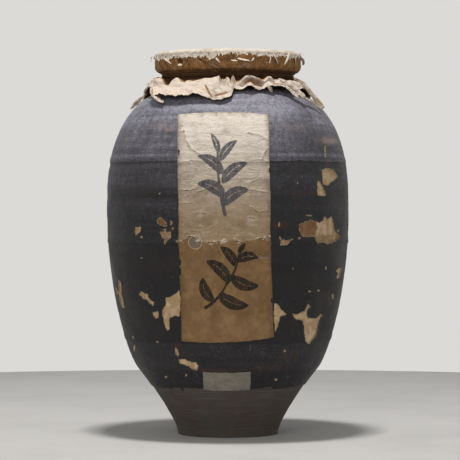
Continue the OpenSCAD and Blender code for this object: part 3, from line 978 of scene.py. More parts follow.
@dataclass(frozen=True)
class Clay:
    """Unglazed stoneware, grey-brown, with throwing lines, grit and faint ash."""

    name: str = "unglazed_stoneware"
    ground: tuple = tone(0.335, 0.313, 0.290)
    warm: tuple = tone(0.335, 0.288, 0.252)
    ash: tuple = tone(0.425, 0.405, 0.378)
    grit: tuple = tone(0.19, 0.175, 0.165)

    def make(self) -> bpy.types.Material:
        """Mixes the finish.

        Returns:
            The material.
        """
        mix = Recipe(self.name, self.ground)
        mix.coat(self.warm, mix.noise(48, 5, 0.6), 0.42, 0.68)
        rings = mix.noise(5, 4, 0.6, (14, 14, 0.5), 2.0)
        mix.coat(self.ash, rings, 0.46, 0.74, 0.0, 0.55)
        mix.coat(self.ash, mix.noise(22, 6, 0.7, shift=3.0), 0.52, 0.80, 0.0, 0.5)
        speck = mix.noise(1.7, 3, 0.6, shift=7.0)
        mix.coat(self.grit, speck, 0.64, 0.74, 0.0, 0.8)
        mix.coat(self.ash, speck, 0.33, 0.24, 0.0, 0.7)
        mix.raise_by(rings, 0.9, 0.7)
        mix.raise_by(mix.noise(2.4, 5, 0.7, shift=5.0), 0.35, 0.8)
        return mix.done(mix.spread(speck, 0.3, 0.7, 0.70, 0.86), gloss=0.35)


@dataclass(frozen=True)
class Wood:
    """Plain straight-grained wood, its grain along the X axis."""

    name: str = "planed_cedar"
    pale: tuple = tone(0.68, 0.52, 0.35)
    dark: tuple = tone(0.47, 0.31, 0.19)
    grain: float = 6.0
    along: tuple = (22, 1, 1)

    def make(self) -> bpy.types.Material:
        """Mixes the finish.

        Returns:
            The material.
        """
        mix = Recipe(self.name, self.pale)
        bands = mix.noise(self.grain, 3, 0.5, self.along)
        rings = mix.math("PINGPONG", mix.times(bands, 9.0), 1.0)
        mix.coat(self.dark, rings, 0.35, 1.0, 0.05, 0.75)
        pore = mix.noise(0.7, 4, 0.6, self.along, 4.0)
        mix.coat(self.dark, pore, 0.56, 0.75, 0.0, 0.7)
        mix.coat(self.dark, mix.noise(50, 4, 0.6, shift=6.0), 0.5, 0.8, 0.0, 0.5)
        mix.raise_by(rings, 0.15, 0.6)
        mix.raise_by(pore, 0.2, 0.7)
        return mix.done(mix.spread(rings, 0.0, 1.0, 0.62, 0.76), gloss=0.4)


@dataclass(frozen=True)
class Hemp:
    """Twisted brown hemp, with fibres along the strands."""

    name: str = "twisted_hemp"
    ground: tuple = tone(0.40, 0.285, 0.175)
    dark: tuple = tone(0.20, 0.13, 0.08)
    pale: tuple = tone(0.56, 0.43, 0.28)

    def make(self) -> bpy.types.Material:
        """Mixes the finish.

        Returns:
            The material.
        """
        mix = Recipe(self.name, self.ground)
        fibre = mix.noise(0.6, 5, 0.7, (4, 4, 1), 1.0)
        mix.coat(self.dark, mix.noise(9, 4, 0.6), 0.45, 0.75, 0.0, 0.7)
        mix.coat(self.pale, fibre, 0.52, 0.72, 0.0, 0.7)
        mix.raise_by(fibre, 0.3, 0.9)
        return mix.done(0.9, gloss=0.25)


@dataclass(frozen=True)
class FloorPaint:
    """Plain pale floor."""

    name: str = "pale_floor"
    ground: tuple = tone(0.80, 0.79, 0.775)
    shade: tuple = tone(0.77, 0.76, 0.745)

    def make(self) -> bpy.types.Material:
        """Mixes the finish.

        Returns:
            The material.
        """
        mix = Recipe(self.name, self.ground)
        mix.coat(self.shade, mix.noise(240, 4, 0.6), 0.4, 0.7)
        return mix.done(0.9, gloss=0.2)


# ---- The object's frame: bodies, slots and the clay wall that all paper follows ----


class Body(Enum):
    """The bodies that new pieces move with."""

    JAR = "jar"
    CAP = "cap"


class Slot(Enum):
    """The record's finishes, one named for each kind of new piece."""

    STONEWARE = "stoneware"
    PALE_PAPER = "pale_paper"
    DARK_PAPER = "dark_paper"
    LABEL_PAPER = "label_paper"
    FOOT_LABEL_PAPER = "foot_label_paper"
    COVER_PAPER = "cover_paper"
    TOP_SHEET = "top_sheet"
    HEMP = "hemp"


def settle(piece: Piece, body: Body, slot: Slot, material: bpy.types.Material, *stands_for: str) -> Piece:
    """Gives a new piece its finish and its place in the object.

    Args:
        piece: the finished piece.
        body: what it moves with.
        slot: the record's finish that it stands for; not used.
        material: its material.
        stands_for: the solids that it replaces.

    Returns:
        The piece.
    """
    piece.data.materials.clear()
    piece.data.materials.append(material)
    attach(piece, body.value)
    if stands_for:
        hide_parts(*stands_for)
    LOG.info("%s: %d faces on %s", piece.name, len(piece.data.polygons), body.value)
    return piece


def dress(node: str, material: bpy.types.Material) -> None:
    """Gives a solid that keeps its shape its finish.

    Args:
        node: the solid's name.
        material: its finish.
    """
    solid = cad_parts[node]
    for slot in solid.material_slots:
        slot.material = material
    LOG.info("%s: dressed", node)


@dataclass
class Wall:
    """Outline of the clay wall, in millimetres: four joined curves from the foot to the neck."""

    foot: tuple = (90, 0)
    knee: tuple = (161, 121)
    belly: tuple = (215, 400)
    shoulder: tuple = (123, 614)
    neck: tuple = (113, 624)
    foot_rise: float = 25
    knee_slope: float = 53
    knee_pull: float = 30
    belly_low: float = 140
    belly_high: float = 75
    shoulder_slope: float = 24
    shoulder_pull: float = 95
    ridge: float = 345
    swell: tuple = (424, 481)
    line: np.ndarray = field(init=False, repr=False)

    def __post_init__(self) -> None:
        """Lays the outline out as rows of radius, height, the way out of it and length along it."""
        knots = (self.foot, self.knee, self.belly, self.shoulder, self.neck)
        foot, knee, belly, shoulder, neck = (np.array(knot, float) for knot in knots)
        slopes = np.radians((self.knee_slope, 180 - self.shoulder_slope))
        knee_way, shoulder_way = np.column_stack([np.cos(slopes), np.sin(slopes)])
        fillet = (neck[1] - shoulder[1]) / 2
        curves = [
            (foot, foot + (0, self.foot_rise), knee - self.knee_pull * knee_way, knee),
            (knee, knee + self.knee_pull * knee_way, belly - (0, self.belly_low), belly),
            (belly, belly + (0, self.belly_high), shoulder - self.shoulder_pull * shoulder_way, shoulder),
            (shoulder, shoulder + fillet * shoulder_way, neck - (0, fillet), neck),
        ]
        t = np.linspace(0, 1, 61)[:, None]
        rows = [(1 - t) ** 3 * c[0] + 3 * (1 - t) ** 2 * t * c[1] + 3 * (1 - t) * t * t * c[2] + t**3 * c[3]
                for c in curves]
        points = np.concatenate([rows[0]] + [row[1:] for row in rows[1:]])
        way = unit(np.gradient(points, axis=0))
        steps = np.linalg.norm(np.diff(points, axis=0), axis=1)
        length = np.concatenate([[0], np.cumsum(steps)])
        self.line = np.column_stack([points, way[:, 1], -way[:, 0], length])

    def along(self, z: np.ndarray, off: float = 0) -> np.ndarray:
        """How far along the outline its line moved outwards by off reaches a height."""
        return np.interp(z, self.line[:, 1] + off * self.line[:, 3], self.line[:, 4])

    def radius(self, z: np.ndarray, off: float = 0) -> np.ndarray:
        """Radius of the outline moved outwards by off, at a height."""
        return np.interp(z, self.line[:, 1] + off * self.line[:, 3], self.line[:, 0] + off * self.line[:, 2])

    def place(self, angle: np.ndarray, length: np.ndarray, off: np.ndarray) -> np.ndarray:
        """Points off the wall.

        Args:
            angle: the turn from the front, in radians, positive to the right.
            length: how far along the outline.
            off: distance out of the wall.

        Returns:
            One row of x, y, z for each point.
        """
        radius, height, out, rise = (np.interp(length, self.line[:, 4], self.line[:, k]) for k in range(4))
        reach = radius + off * out
        return turned(reach, angle, height + off * rise)

    def height(self, length: np.ndarray) -> np.ndarray:
        """Height of the clay at a length along the outline."""
        return np.interp(length, self.line[:, 4], self.line[:, 1])

    def relief(self, angle: np.ndarray, z: np.ndarray) -> np.ndarray:
        """How far throwing rings, dents and ridges lift the paper.

        Args:
            angle: the turns from the front.
            z: the heights.

        Returns:
            The lift at each point, from 0 to about 4.
        """
        here = turned(self.belly[0], angle, z)
        rings = 0.18 * (1.1 + cloud(here / (150, 150, 8), 3, 2))
        dents = 0.34 * (1.1 + cloud(here / 105, 5, 2))
        crumple = 0.10 * (1.1 + cloud(here / (16, 16, 7), 6, 3))
        ridge_z = self.ridge + 2.2 * cloud(here / 34, 8, 3)
        ridge = 0.7 * bump(z, ridge_z, 2.8) * (0.55 + 0.45 * cloud(here / 22, 9, 2))
        left = ramp(-np.sin(angle), 0.25, 0.6) * ramp(np.cos(angle), -0.6, -0.2)
        low, high = self.swell
        swell = 0.9 * left * (1 - bump(z, low, 12) - bump(z, high, 6)) * ramp(z, low - 44, low - 14)
        swell = np.clip(swell, 0, 1) * (1 - ramp(z, high + 19, high + 59))
        fade = ramp(z, 96, 126) * (1 - ramp(z, 592, 612))
        return np.clip(rings + dents + crumple + ridge + swell, 0, 4.5) * fade


def ragged(outline: Sequence[Sequence[float]], seed: int, jitter: float = 0.55,
           step: float = 1.5) -> np.ndarray:
    """A torn edge along an outline.

    Args:
        outline: the outline's corners.
        seed: which tear it is.
        jitter: how far it strays.
        step: the length of its edges.

    Returns:
        The torn outline's corners.
    """
    corners = np.asarray(outline, float)
    parts = []
    for start, end in zip(corners, np.roll(corners, -1, axis=0)):
        count = max(1, round(float(np.hypot(*(end - start))) / step))
        parts.append(start + (end - start) * np.linspace(0, 1, count, endpoint=False)[:, None])
    line = np.concatenate(parts)
    here = stack(line[:, 0] / 2.6, line[:, 1] / 2.6, 0)
    return line + jitter * stack(cloud(here, seed, 2), cloud(here + 9, seed + 50, 2))


def slit(line: Sequence[Sequence[float]], width: float, seed: int) -> np.ndarray:
    """The outline of a thin tear along a line, narrow at both ends.

    Args:
        line: the line's corners.
        width: the tear's width at its middle.
        seed: which tear it is.

    Returns:
        The tear's corners.
    """
    corners = np.asarray(line, float)
    share = np.concatenate([[0], np.cumsum(np.linalg.norm(np.diff(corners, axis=0), axis=1))])
    count = max(6, round(share[-1] / 1.5))
    t = np.linspace(0, share[-1], count)
    x, z = np.interp(t, share, corners[:, 0]), np.interp(t, share, corners[:, 1])
    way = unit(stack(np.gradient(x), np.gradient(z)))
    side = stack(-way[:, 1], way[:, 0])
    here = stack(x / 2.5, z / 2.5, 0)
    middle = stack(x, z) + side * (0.7 * cloud(here, seed, 2))[:, None]
    taper = np.sin(np.pi * np.clip(t / share[-1], 0.04, 0.96)) ** 0.5
    half = width / 2 * taper * (0.75 + 0.5 * cloud(here, seed + 9, 2))
    half = np.clip(half, 0.12, None)[:, None]
    return np.concatenate([middle + side * half, (middle - side * half)[::-1]])


# ---- Clay ----


@dataclass
class ClayBody:
    """The jar's clay: one turned wall with its foot, lip and bore, in millimetres."""

    wall: Wall
    thick: float = 10.5
    floor: float = 16
    hollow: float = 4
    foot_ring: float = 16
    rim: float = 672
    lip_low: float = 657
    lip_out: float = 1.2
    bore_rim: float = 105
    bore_low: float = 102.5
    columns: int = 360

    def outline(self) -> np.ndarray:
        """The turned outline of the clay.

        Returns:
            Its corners, from the middle of the hollow foot round to the floor inside.
        """
        line = self.wall.line
        outer = line[::4, :2]
        foot, neck, edge = self.wall.foot[0], self.wall.neck[0], 1.5
        ring = foot - self.foot_ring
        under = [(0, self.hollow), (45, self.hollow), (ring - 2, self.hollow), (ring, self.hollow - edge),
                 (ring, 0.8), (ring + 0.8, 0), (foot - edge, 0), (foot - 0.3, 0.5)]
        straight = [(neck, z) for z in (630, 640, 650)]
        turn = np.linspace(0, math.pi, 13)
        rise = (self.rim - self.lip_low) * turn / math.pi
        lip = stack(neck + self.lip_out * np.sin(turn), self.lip_low + rise)
        lip[-1] = (neck - 0.6, self.rim - 0.2)
        top = [(neck - 1.6, self.rim), (self.bore_rim + 1.5, self.rim), (self.bore_rim, self.rim - 1.2)]
        taper = (self.bore_rim - self.bore_low) / 48
        bore = [(self.bore_low + taper * (z - 624), z) for z in (660, 645, 632)]
        inner = line[::-5, :2] - self.thick * line[::-5, 2:4]
        inner = inner[(inner[:, 1] < 618) & (inner[:, 1] > self.floor + 3)]
        last = inner[-1, 0]
        floor = [(last - 3, self.floor + 0.7), (last - 8, self.floor), (30, self.floor), (0, self.floor)]
        return np.concatenate([under, outer[outer[:, 1] > edge], straight, lip, top, bore, inner, floor])

    def build(self) -> Piece:
        """Turns the clay.

        Returns:
            The jar's turned clay.
        """
        outline = self.outline()
        bpy.ops.object.select_all(action="DESELECT")
        bpy.ops.mesh.primitive_circle_add(vertices=len(outline) + 1, fill_type="NOTHING")
        piece = bpy.context.object
        piece.name = piece.data.name = "turned_clay"
        outline = np.concatenate([outline, [[0, self.floor]]])
        Bench.move_points(piece, stack(outline[:, 0], 0, outline[:, 1]))
        bpy.ops.object.mode_set(mode="EDIT")
        bpy.ops.mesh.select_all(action="SELECT")
        bpy.ops.mesh.spin(steps=self.columns, angle=2 * math.pi, center=(0, 0, 0), axis=(0, 0, 1),
                          use_auto_merge=True)
        bpy.ops.object.mode_set(mode="OBJECT")
        Bench.merge(piece, WELD)
        return piece

    def make(self) -> None:
        """Builds and dresses the clay."""
        piece = self.build()
        places = Bench.points(piece)
        outside, z = np.hypot(places[:, 0], places[:, 1]), places[:, 2]
        low = (np.abs(outside - self.wall.radius(z)) < 0.3) & (z > 3) & (z < 100)
        ring = circle(turn_of(places)) * 2
        wave = 0.35 * cloud(stack(ring[:, 0], ring[:, 1], z / 5), 31, 3)
        push = np.where(low, wave * ramp(z, 3, 12) - 0.3, 0) / np.maximum(outside, 1)
        places[:, :2] *= (1 + push)[:, None]
        Bench.move_points(piece, places)
        Bench.smooth(piece, 50)
        settle(piece, Body.JAR, Slot.STONEWARE, Clay().make(), "jar")


# ---- Paper pasted on the clay ----

# Torn places of the dark paper, seen from the front: right of the middle, height, outline round
# that place and how stained the lining is in it.
TEARS = [
    (177, 461, [(-13, 9), (-7, 13), (7, 12), (15, -1), (12, -5), (-5, -16), (-11, -13)], 0.1),
    (163, 437, [(-7, 15), (-4, 13), (3, 2), (8, -9), (5, -11), (-7, -9)], 0.15),
    (170, 366, [(-20, 15), (-10, 13), (-4, 18), (-2, 24), (4, 18), (10, 24), (14, 13), (16, -1),
                (28, -12), (18, -19), (4, -24), (-4, -19), (-14, -21), (-20, -8)], 0.25),
    (136, 370, [(-13, 7), (7, 14), (18, 11), (18, -12), (2, -15), (-8, -13), (-12, -3)], 0.8),
    (99, 348, [(-10, 7), (-6, 2), (2, 1), (13, 3), (6, -1), (2, -7), (-9, -7), (-7, -1)], 0.45),
    (196, 290, [(-5, 5), (-1, 8), (6, 8), (3, 2), (1, -7), (-1, -10), (-3, -8), (-1, 0)], 0.2),
    (140, 209, [(-28, 13), (-18, 11), (-13, 15), (-7, 15), (0, 29), (3, 24), (-3, 18), (-4, 10),
                (-1, 4), (16, 2), (22, 10), (25, 8), (19, 1), (14, -28), (1, -42), (-4, -37), (-8, -5),
                (-11, 2), (-21, 3)], 0.2),
    (86, 221, [(-6, 19), (-1, 19), (3, 11), (15, 0), (3, -3), (1, -15), (-4, -28), (-6, -11)], 0.2),
    (-99, 226, [(15, 36), (17, 23), (16, 8), (15, -8), (8, -6), (-3, -11), (-3, -30), (-6, -32),
                (-10, -25), (-14, -5), (-12, 8), (-8, 9), (-7, 24), (-2, 24), (8, 30)], 0.25),
    (-141, 248, [(-13, 7), (-10, 11), (1, 7), (2, 1), (12, -7), (11, -13), (0, -2), (-6, -1)], 0.3),
    (-125, 219, [(-5, 5), (4, 6), (4, -2), (0, -6), (-3, -3)], 0.25),
    (-190, 251, [(-3, 27), (1, 20), (0, 10), (6, -22), (2, -20), (-2, -4)], 0.35),
    (-197, 257, [(-3, 6), (-1, 5), (3, -5), (1, -5)], 0.35),
    (-88, 155, [(-3, 7), (0, 5), (2, -3), (1, -7), (-2, -4)], 0.3),
    (-68, 135, [(-17, 6), (-7, 8), (4, 2), (13, 2), (16, -4), (13, -11), (-7, -1), (-16, 1)], 0.15),
    (-157, 366, [(-3, 5), (6, 6), (5, -1), (-2, -8), (-4, -4)], 0.1),
    (-107, 354, [(-10, 9), (8, 9), (9, 1), (2, -4), (-1, -11), (-3, -2), (-6, 2)], 0.6),
    (-114, 380, [(-8, 4), (-2, 9), (9, -2), (8, -7), (-6, -2)], 1.0),
]

# Small chips: right of the middle, height, width and height of the chip.
CHIPS = [
    (142, 260, 3, 3), (158, 261, 3, 3), (185, 249, 2, 9), (-168, 177, 3, 4), (-123, 172, 2.4, 3),
    (-166, 157, 2.2, 8), (-109, 109, 4, 2.4), (-73, 114, 2, 2), (84, 105, 3.4, 4), (99, 157, 3, 2),
    (88, 376, 2.2, 7), (123, 353, 3, 2.2), (194, 365, 2.4, 3), (-109, 368, 5, 2), (-95, 370, 2.6, 2.2),
    (-87, 348, 3, 2.4), (-150, 355, 3.4, 2.4), (139, 392, 11, 1.2), (170, 506, 0.55, 18),
    (-97.5, 380, 1.6, 8), (112, 300, 1.6, 2), (171, 300, 1.4, 5), (-118, 430, 1.6, 1.4),
    (120, 448, 1.4, 2.4), (-150, 318, 1.8, 1.4),
]

# Reddish smears on the dark paper: right of the middle, height, half width, half height, strength.
SMEARS = [
    (178, 523, 20, 6.5, 0.8), (178, 484, 6, 5, 0.6), (-101, 541, 11, 4, 0.5), (-112, 548, 18, 5, 0.25),
    (118, 545, 26, 6, 0.22), (90, 375, 14, 6, 0.3), (-30, 124, 46, 2.2, 0.5), (70, 128, 30, 5, 0.25),
    (-92, 168, 8, 5, 0.4), (-104, 366, 14, 5, 0.35), (130, 430, 24, 5, 0.2), (104, 150, 12, 12, 0.25),
]

# Edge of the lowest ring at the front: right of the middle and height, and the tails that hang
# from it: right of the middle, length and half width.
HEM = [
    (-135, 86.5), (-123, 86.9), (-100, 89.5), (-80, 91), (-60, 90.5), (-43, 90), (39, 88.8), (60, 90.8),
    (77.8, 92.6), (78.6, 88.0), (100, 88.8), (133, 90.1),
]
HEM_TAILS = [(-81, 8.5, 1.3), (-101, 2.5, 2)]


@dataclass
class PastedPaper:
    """Pale lining and four rings of dark paper that lap down over each other, in millimetres."""

    wall: Wall
    paste: float = 0.05
    thick: float = 0.6
    seams: tuple = (89, 179, 352, 494)
    lap: float = 8
    top: float = 616
    columns: int = 520
    hem_radius: float = 139
    names: tuple = ("hem", "lower", "upper", "shoulder")
    rows: tuple = (48, 72, 60, 72)
    lining_columns: int = 330
    lining_rows: int = 140

    def lapped(self, z: np.ndarray, seam: float) -> np.ndarray:
        """1 where a ring lies on the ring below it, 0 above."""
        return 1 - ramp(z, seam, seam + self.lap / 2)

    def hem(self, angle: np.ndarray) -> np.ndarray:
        """Height of the lowest ring's edge, with its nicks and hanging tails.

        Args:
            angle: the turns from the front.

        Returns:
            One height for each angle.
        """
        x = self.hem_radius * np.sin(angle)
        front = np.interp(x, *np.array(HEM).T)
        back = self.seams[0] + 0.5 + 1.6 * cloud(circle(angle) * 3, 41, 3)
        share = ramp(-np.cos(angle), -0.35, 0.05)
        edge = front * (1 - share) + back * share
        for place, drop, half in HEM_TAILS:
            edge = edge - (np.cos(angle) > 0) * drop * bump(x, place, half)
        return edge + 0.5 * cloud(circle(angle) * 22, 43, 2)

    def edge(self, ring: int, angle: np.ndarray) -> np.ndarray:
        """Height of a ring's lower edge.

        Args:
            ring: its number, from the hem up.
            angle: the turns from the front.

        Returns:
            One height for each angle.
        """
        if ring == 0:
            return self.hem(angle)
        here = circle(angle)
        uneven = 0.9 * cloud(here * 5, 51 + ring, 2) + 0.5 * cloud(here * 40, 61 + ring, 2)
        return self.seams[ring] - self.lap + uneven

    def tears(self, low: float, high: float) -> list[np.ndarray]:
        """The torn outlines that reach between two heights."""
        lines = [ragged(np.array(tear[2]) + tear[:2], 100 + index) for index, tear in enumerate(TEARS)]
        return [line for line in lines if line[:, 1].max() > low and line[:, 1].min() < high]

    def chips(self, low: float, high: float) -> list[np.ndarray]:
        """The outlines of the small chips between two heights.

        Args:
            low: the lower height.
            high: the upper height.

        Returns:
            The corners of each chip.
        """
        turn = np.linspace(0, 2 * math.pi, 8, endpoint=False)
        ring = stack(np.cos(turn), np.sin(turn), 0)
        worn = []
        for index, (x, z, *size) in enumerate(CHIPS):
            if low < z < high:
                reach = 0.5 + 0.16 * cloud(ring * 2, 200 + index, 2)
                worn.append((x, z) + ring[:, :2] * size * reach[:, None])
        return worn

    @staticmethod
    def torn_distance(places: np.ndarray, outlines: Sequence[np.ndarray], reach: float = 8) -> np.ndarray:
        """Distance from points of the front to the nearest torn edge.

        Args:
            places: the points.
            outlines: the corners of each tear.
            reach: the largest distance that is told apart.

        Returns:
            One distance for each point.
        """
        best = np.full(len(places), reach)
        for outline in outlines:
            seen = places[:, [0, 2]]
            near = ((seen > outline.min(0) - reach) & (seen < outline.max(0) + reach)).all(axis=1)
            near &= places[:, 1] < 0
            if near.any():
                gap = outline_distance(places[near, 0], places[near, 2], outline)
                best[near] = np.minimum(best[near], gap)
        return best

    @staticmethod
    def dust_and_sheen(ring: int, places: np.ndarray) -> np.ndarray:
        """How much grey dust and painted sheen lie on a ring, with painted shade where less light falls.

        Args:
            ring: its number, from the hem up.
            places: its points.

        Returns:
            A share from 0 to about 1 for each point.
        """
        x, z, front = places[:, 0], places[:, 2], places[:, 1] < 0
        # Partly each ring's own tone and partly painted light: most on the shoulder, which faces the light
        # from above, least on the lower rings.
        share = np.full(len(places), (0.26, 0.08, 0.50, 1.0)[ring])
        if ring == 2:
            # The upper ring: darker to the right, as painted shade; darker just below the shoulder's lap, as
            # its painted shadow; darker in the groove at the left, as painted shade; less dust and painted
            # sheen lower down, where the belly turns from the light.
            share *= 0.62 + 0.38 * ramp(-x, -20, 60) * front
            share *= 0.45 + 0.55 * (1 - ramp(z, 452, 484))
            share *= 1 - 0.6 * bump(z, 424, 13) * front
            share *= 0.30 + 0.70 * ramp(z, 360, 440)
            share *= 1 + 0.6 * ramp(z, 462, 480) * (0.6 + 0.6 * cloud(places / 22, 78, 3))
        if ring == 3:
            # The shoulder: lighter higher up, as dust and painted light from above; darker to the right, as
            # painted shade.
            share *= 0.78 + 0.22 * ramp(z, 505, 560)
            share *= 1 - 0.26 * bump(z, 538, 11) + 0.12 * bump(z, 562, 7)
            share *= 1 - 0.30 * ramp(x, 80, 135) * front
        return share

    @staticmethod
    def rust(places: np.ndarray) -> np.ndarray:
        """How reddish the dark paper is.

        Args:
            places: its points.

        Returns:
            A share from 0 to 1 for each point.
        """
        x, z, front = places[:, 0], places[:, 2], places[:, 1] < 0
        share = np.zeros(len(places))
        uneven = 0.3 * cloud(stack(x, 0, z) / 7, 77, 3)
        for middle, height, wide, high, strength in SMEARS:
            gap = np.hypot((x - middle) / wide, (z - height) / high) + uneven
            share = np.maximum(share, strength * np.exp(-np.clip(gap, 0, None) ** 3) * front)
        return share

    def ring(self, ring: int, material: bpy.types.Material) -> None:
        """Builds and dresses one ring of dark paper.

        Args:
            ring: its number, from the hem up.
            material: its finish.
        """
        seam, high = (*self.seams, self.top)[ring:ring + 2]
        torn, worn = self.tears(seam - self.lap, high), self.chips(seam - self.lap, high)

        def shape(u: np.ndarray, v: np.ndarray) -> np.ndarray:
            """Bends the sheet.

            Args:
                u: shares of the way across it.
                v: shares of the way up it.

            Returns:
                Places of its middle, one row each.
            """
            angle = 2 * math.pi * (u - 0.5)
            start = self.wall.along(self.edge(ring, angle), 1.3)
            length = start + v * (self.wall.along(high, 1) - start)
            z = self.wall.height(length)
            off = 2 * self.paste + 1.5 * self.thick + self.wall.relief(angle, z)
            if ring:
                off = off + (self.thick + self.paste) * self.lapped(z, seam)
            places = self.wall.place(angle, length, off)
            curl = np.exp(-self.torn_distance(places, torn) / 1.6) * (0.5 + 0.5 * cloud(places / 6, 71, 2))
            return self.wall.place(angle, length, off + np.clip(0.7 * curl, 0, 1))

        name = self.names[ring]
        piece = Bench.sheet(f"dark_paper_{name}", self.columns, self.rows[ring], shape, self.thick)
        Bench.cut(piece, torn + worn)
        places = Bench.points(piece)
        above = places[:, 2] - self.edge(ring, turn_of(places))
        Bench.mark(piece, "torn", self.torn_distance(places, torn + worn))
        Bench.mark(piece, "wear", np.exp(-np.abs(above) / 1.2) * 0.3)
        Bench.mark(piece, "dust_and_sheen", self.dust_and_sheen(ring, places))
        Bench.mark(piece, "rust", self.rust(places))
        Bench.smooth(piece, 50)
        settle(piece, Body.JAR, Slot.DARK_PAPER, material, f"{name}_paper")

    def lining(self) -> None:
        """Builds and dresses the lining."""

        def shape(u: np.ndarray, v: np.ndarray) -> np.ndarray:
            """Bends the sheet.

            Args:
                u: shares of the way across it.
                v: shares of the way up it.

            Returns:
                Places of its middle, one row each.
            """
            angle = 2 * math.pi * (u - 0.5)
            start = self.wall.along(self.hem(angle) + 2, 0.3)
            length = start + v * (self.wall.along(self.top, 0.3) - start)
            off = self.paste + self.thick / 2 + self.wall.relief(angle, self.wall.height(length))
            return self.wall.place(angle, length, off)

        columns, rows = self.lining_columns, self.lining_rows
        piece = Bench.sheet("lining", columns, rows, shape, self.thick * 0.9)
        places = Bench.points(piece)
        x, z, front = places[:, 0], places[:, 2], places[:, 1] < 0
        stain = np.full(len(places), 0.15)
        for middle, height, outline, share in TEARS:
            reach = np.ptp(np.array(outline), axis=0).max() / 2 + 4
            stain[front & (np.hypot(x - middle, z - height) < reach)] = share
        stain[front & (x > 140) & (z > 335) & (z < 357)] = 0.5
        Bench.mark(piece, "stain", stain)
        Bench.smooth(piece, 50)
        settle(piece, Body.JAR, Slot.PALE_PAPER, LiningPaper().make(), "lining_paper")

    def make(self) -> None:
        """Builds and dresses all the rings and the lining."""
        material = DarkPaper().make()
        for ring in range(4):
            self.ring(ring, material)
        self.lining()


# ---- Labels ----


@dataclass
class BrushStroke:
    """One stroke of a loaded brush: a bent leaf or stem, in millimetres."""

    start: tuple
    end: tuple
    bulge: float
    half: float
    stem: bool = False

    def line(self) -> tuple[np.ndarray, np.ndarray]:
        """The stroke's course.

        Returns:
            Its middle line and its half width along it.
        """
        t = np.linspace(0, 1, 22)
        start, end = np.array(self.start, float), np.array(self.end, float)
        way = end - start
        side = np.array([-way[1], way[0]]) / np.hypot(*way)
        middle = start + t[:, None] * way + (4 * t * (1 - t) * self.bulge)[:, None] * side
        if self.stem:
            return middle, self.half * (1 - 0.55 * t)
        return middle, self.half * np.sin(np.pi * np.clip(t, 0.0, 1) ** 0.8) ** 0.75 + 0.25

    def reach(self, x: np.ndarray, z: np.ndarray) -> np.ndarray:
        """Distance to the stroke's edge. A large leaf keeps a bare rib along its middle.

        Args:
            x: the points' places across.
            z: the points' heights.

        Returns:
            One distance for each point, less than 0 inside the stroke.
        """
        middle, half = self.line()
        best, centre = np.full(x.shape, 1e9), np.full(x.shape, 1e9)
        for index in range(len(middle) - 1):
            gap, share = leg_distance(x, z, *middle[index:index + 2])
            best = np.minimum(best, gap - half[index] - share * (half[index + 1] - half[index]))
            if not self.stem and 0.15 < index / len(middle) < 0.72:
                centre = np.minimum(centre, gap)
        return np.maximum(best, 0.4 - centre) if self.half > 4.5 else best


# Two sprigs of tea leaves, one faded and one dark.
SPRIGS = [
    BrushStroke((-5, 394), (-17, 520), 5, 3.2, True),
    BrushStroke((-7, 410), (36, 436), 8, 10.5),
    BrushStroke((-7, 424), (-53, 446), -8, 10.5),
    BrushStroke((-8, 448), (34, 482), 7, 9.8),
    BrushStroke((-10, 464), (-52, 494), -7, 9.2),
    BrushStroke((-13, 486), (16, 521), 4, 7.6),
    BrushStroke((-16, 500), (-29, 533), -2, 5.4),
    BrushStroke((-38, 234), (-2, 275), -4, 3.2, True),
    BrushStroke((-2, 275), (19, 333), -5, 2.8, True),
    BrushStroke((-25, 246), (-43, 286), 6, 9.2),
    BrushStroke((-14, 258), (36, 238), -7, 11.0),
    BrushStroke((1, 279), (-37, 314), -6, 10.5),
    BrushStroke((7, 288), (53, 272), -7, 10.5),
    BrushStroke((13, 306), (-13, 339), -4, 8.4),
    BrushStroke((17, 314), (52, 319), 6, 8.4),
    BrushStroke((19, 328), (30, 345), 1, 4.4),
]


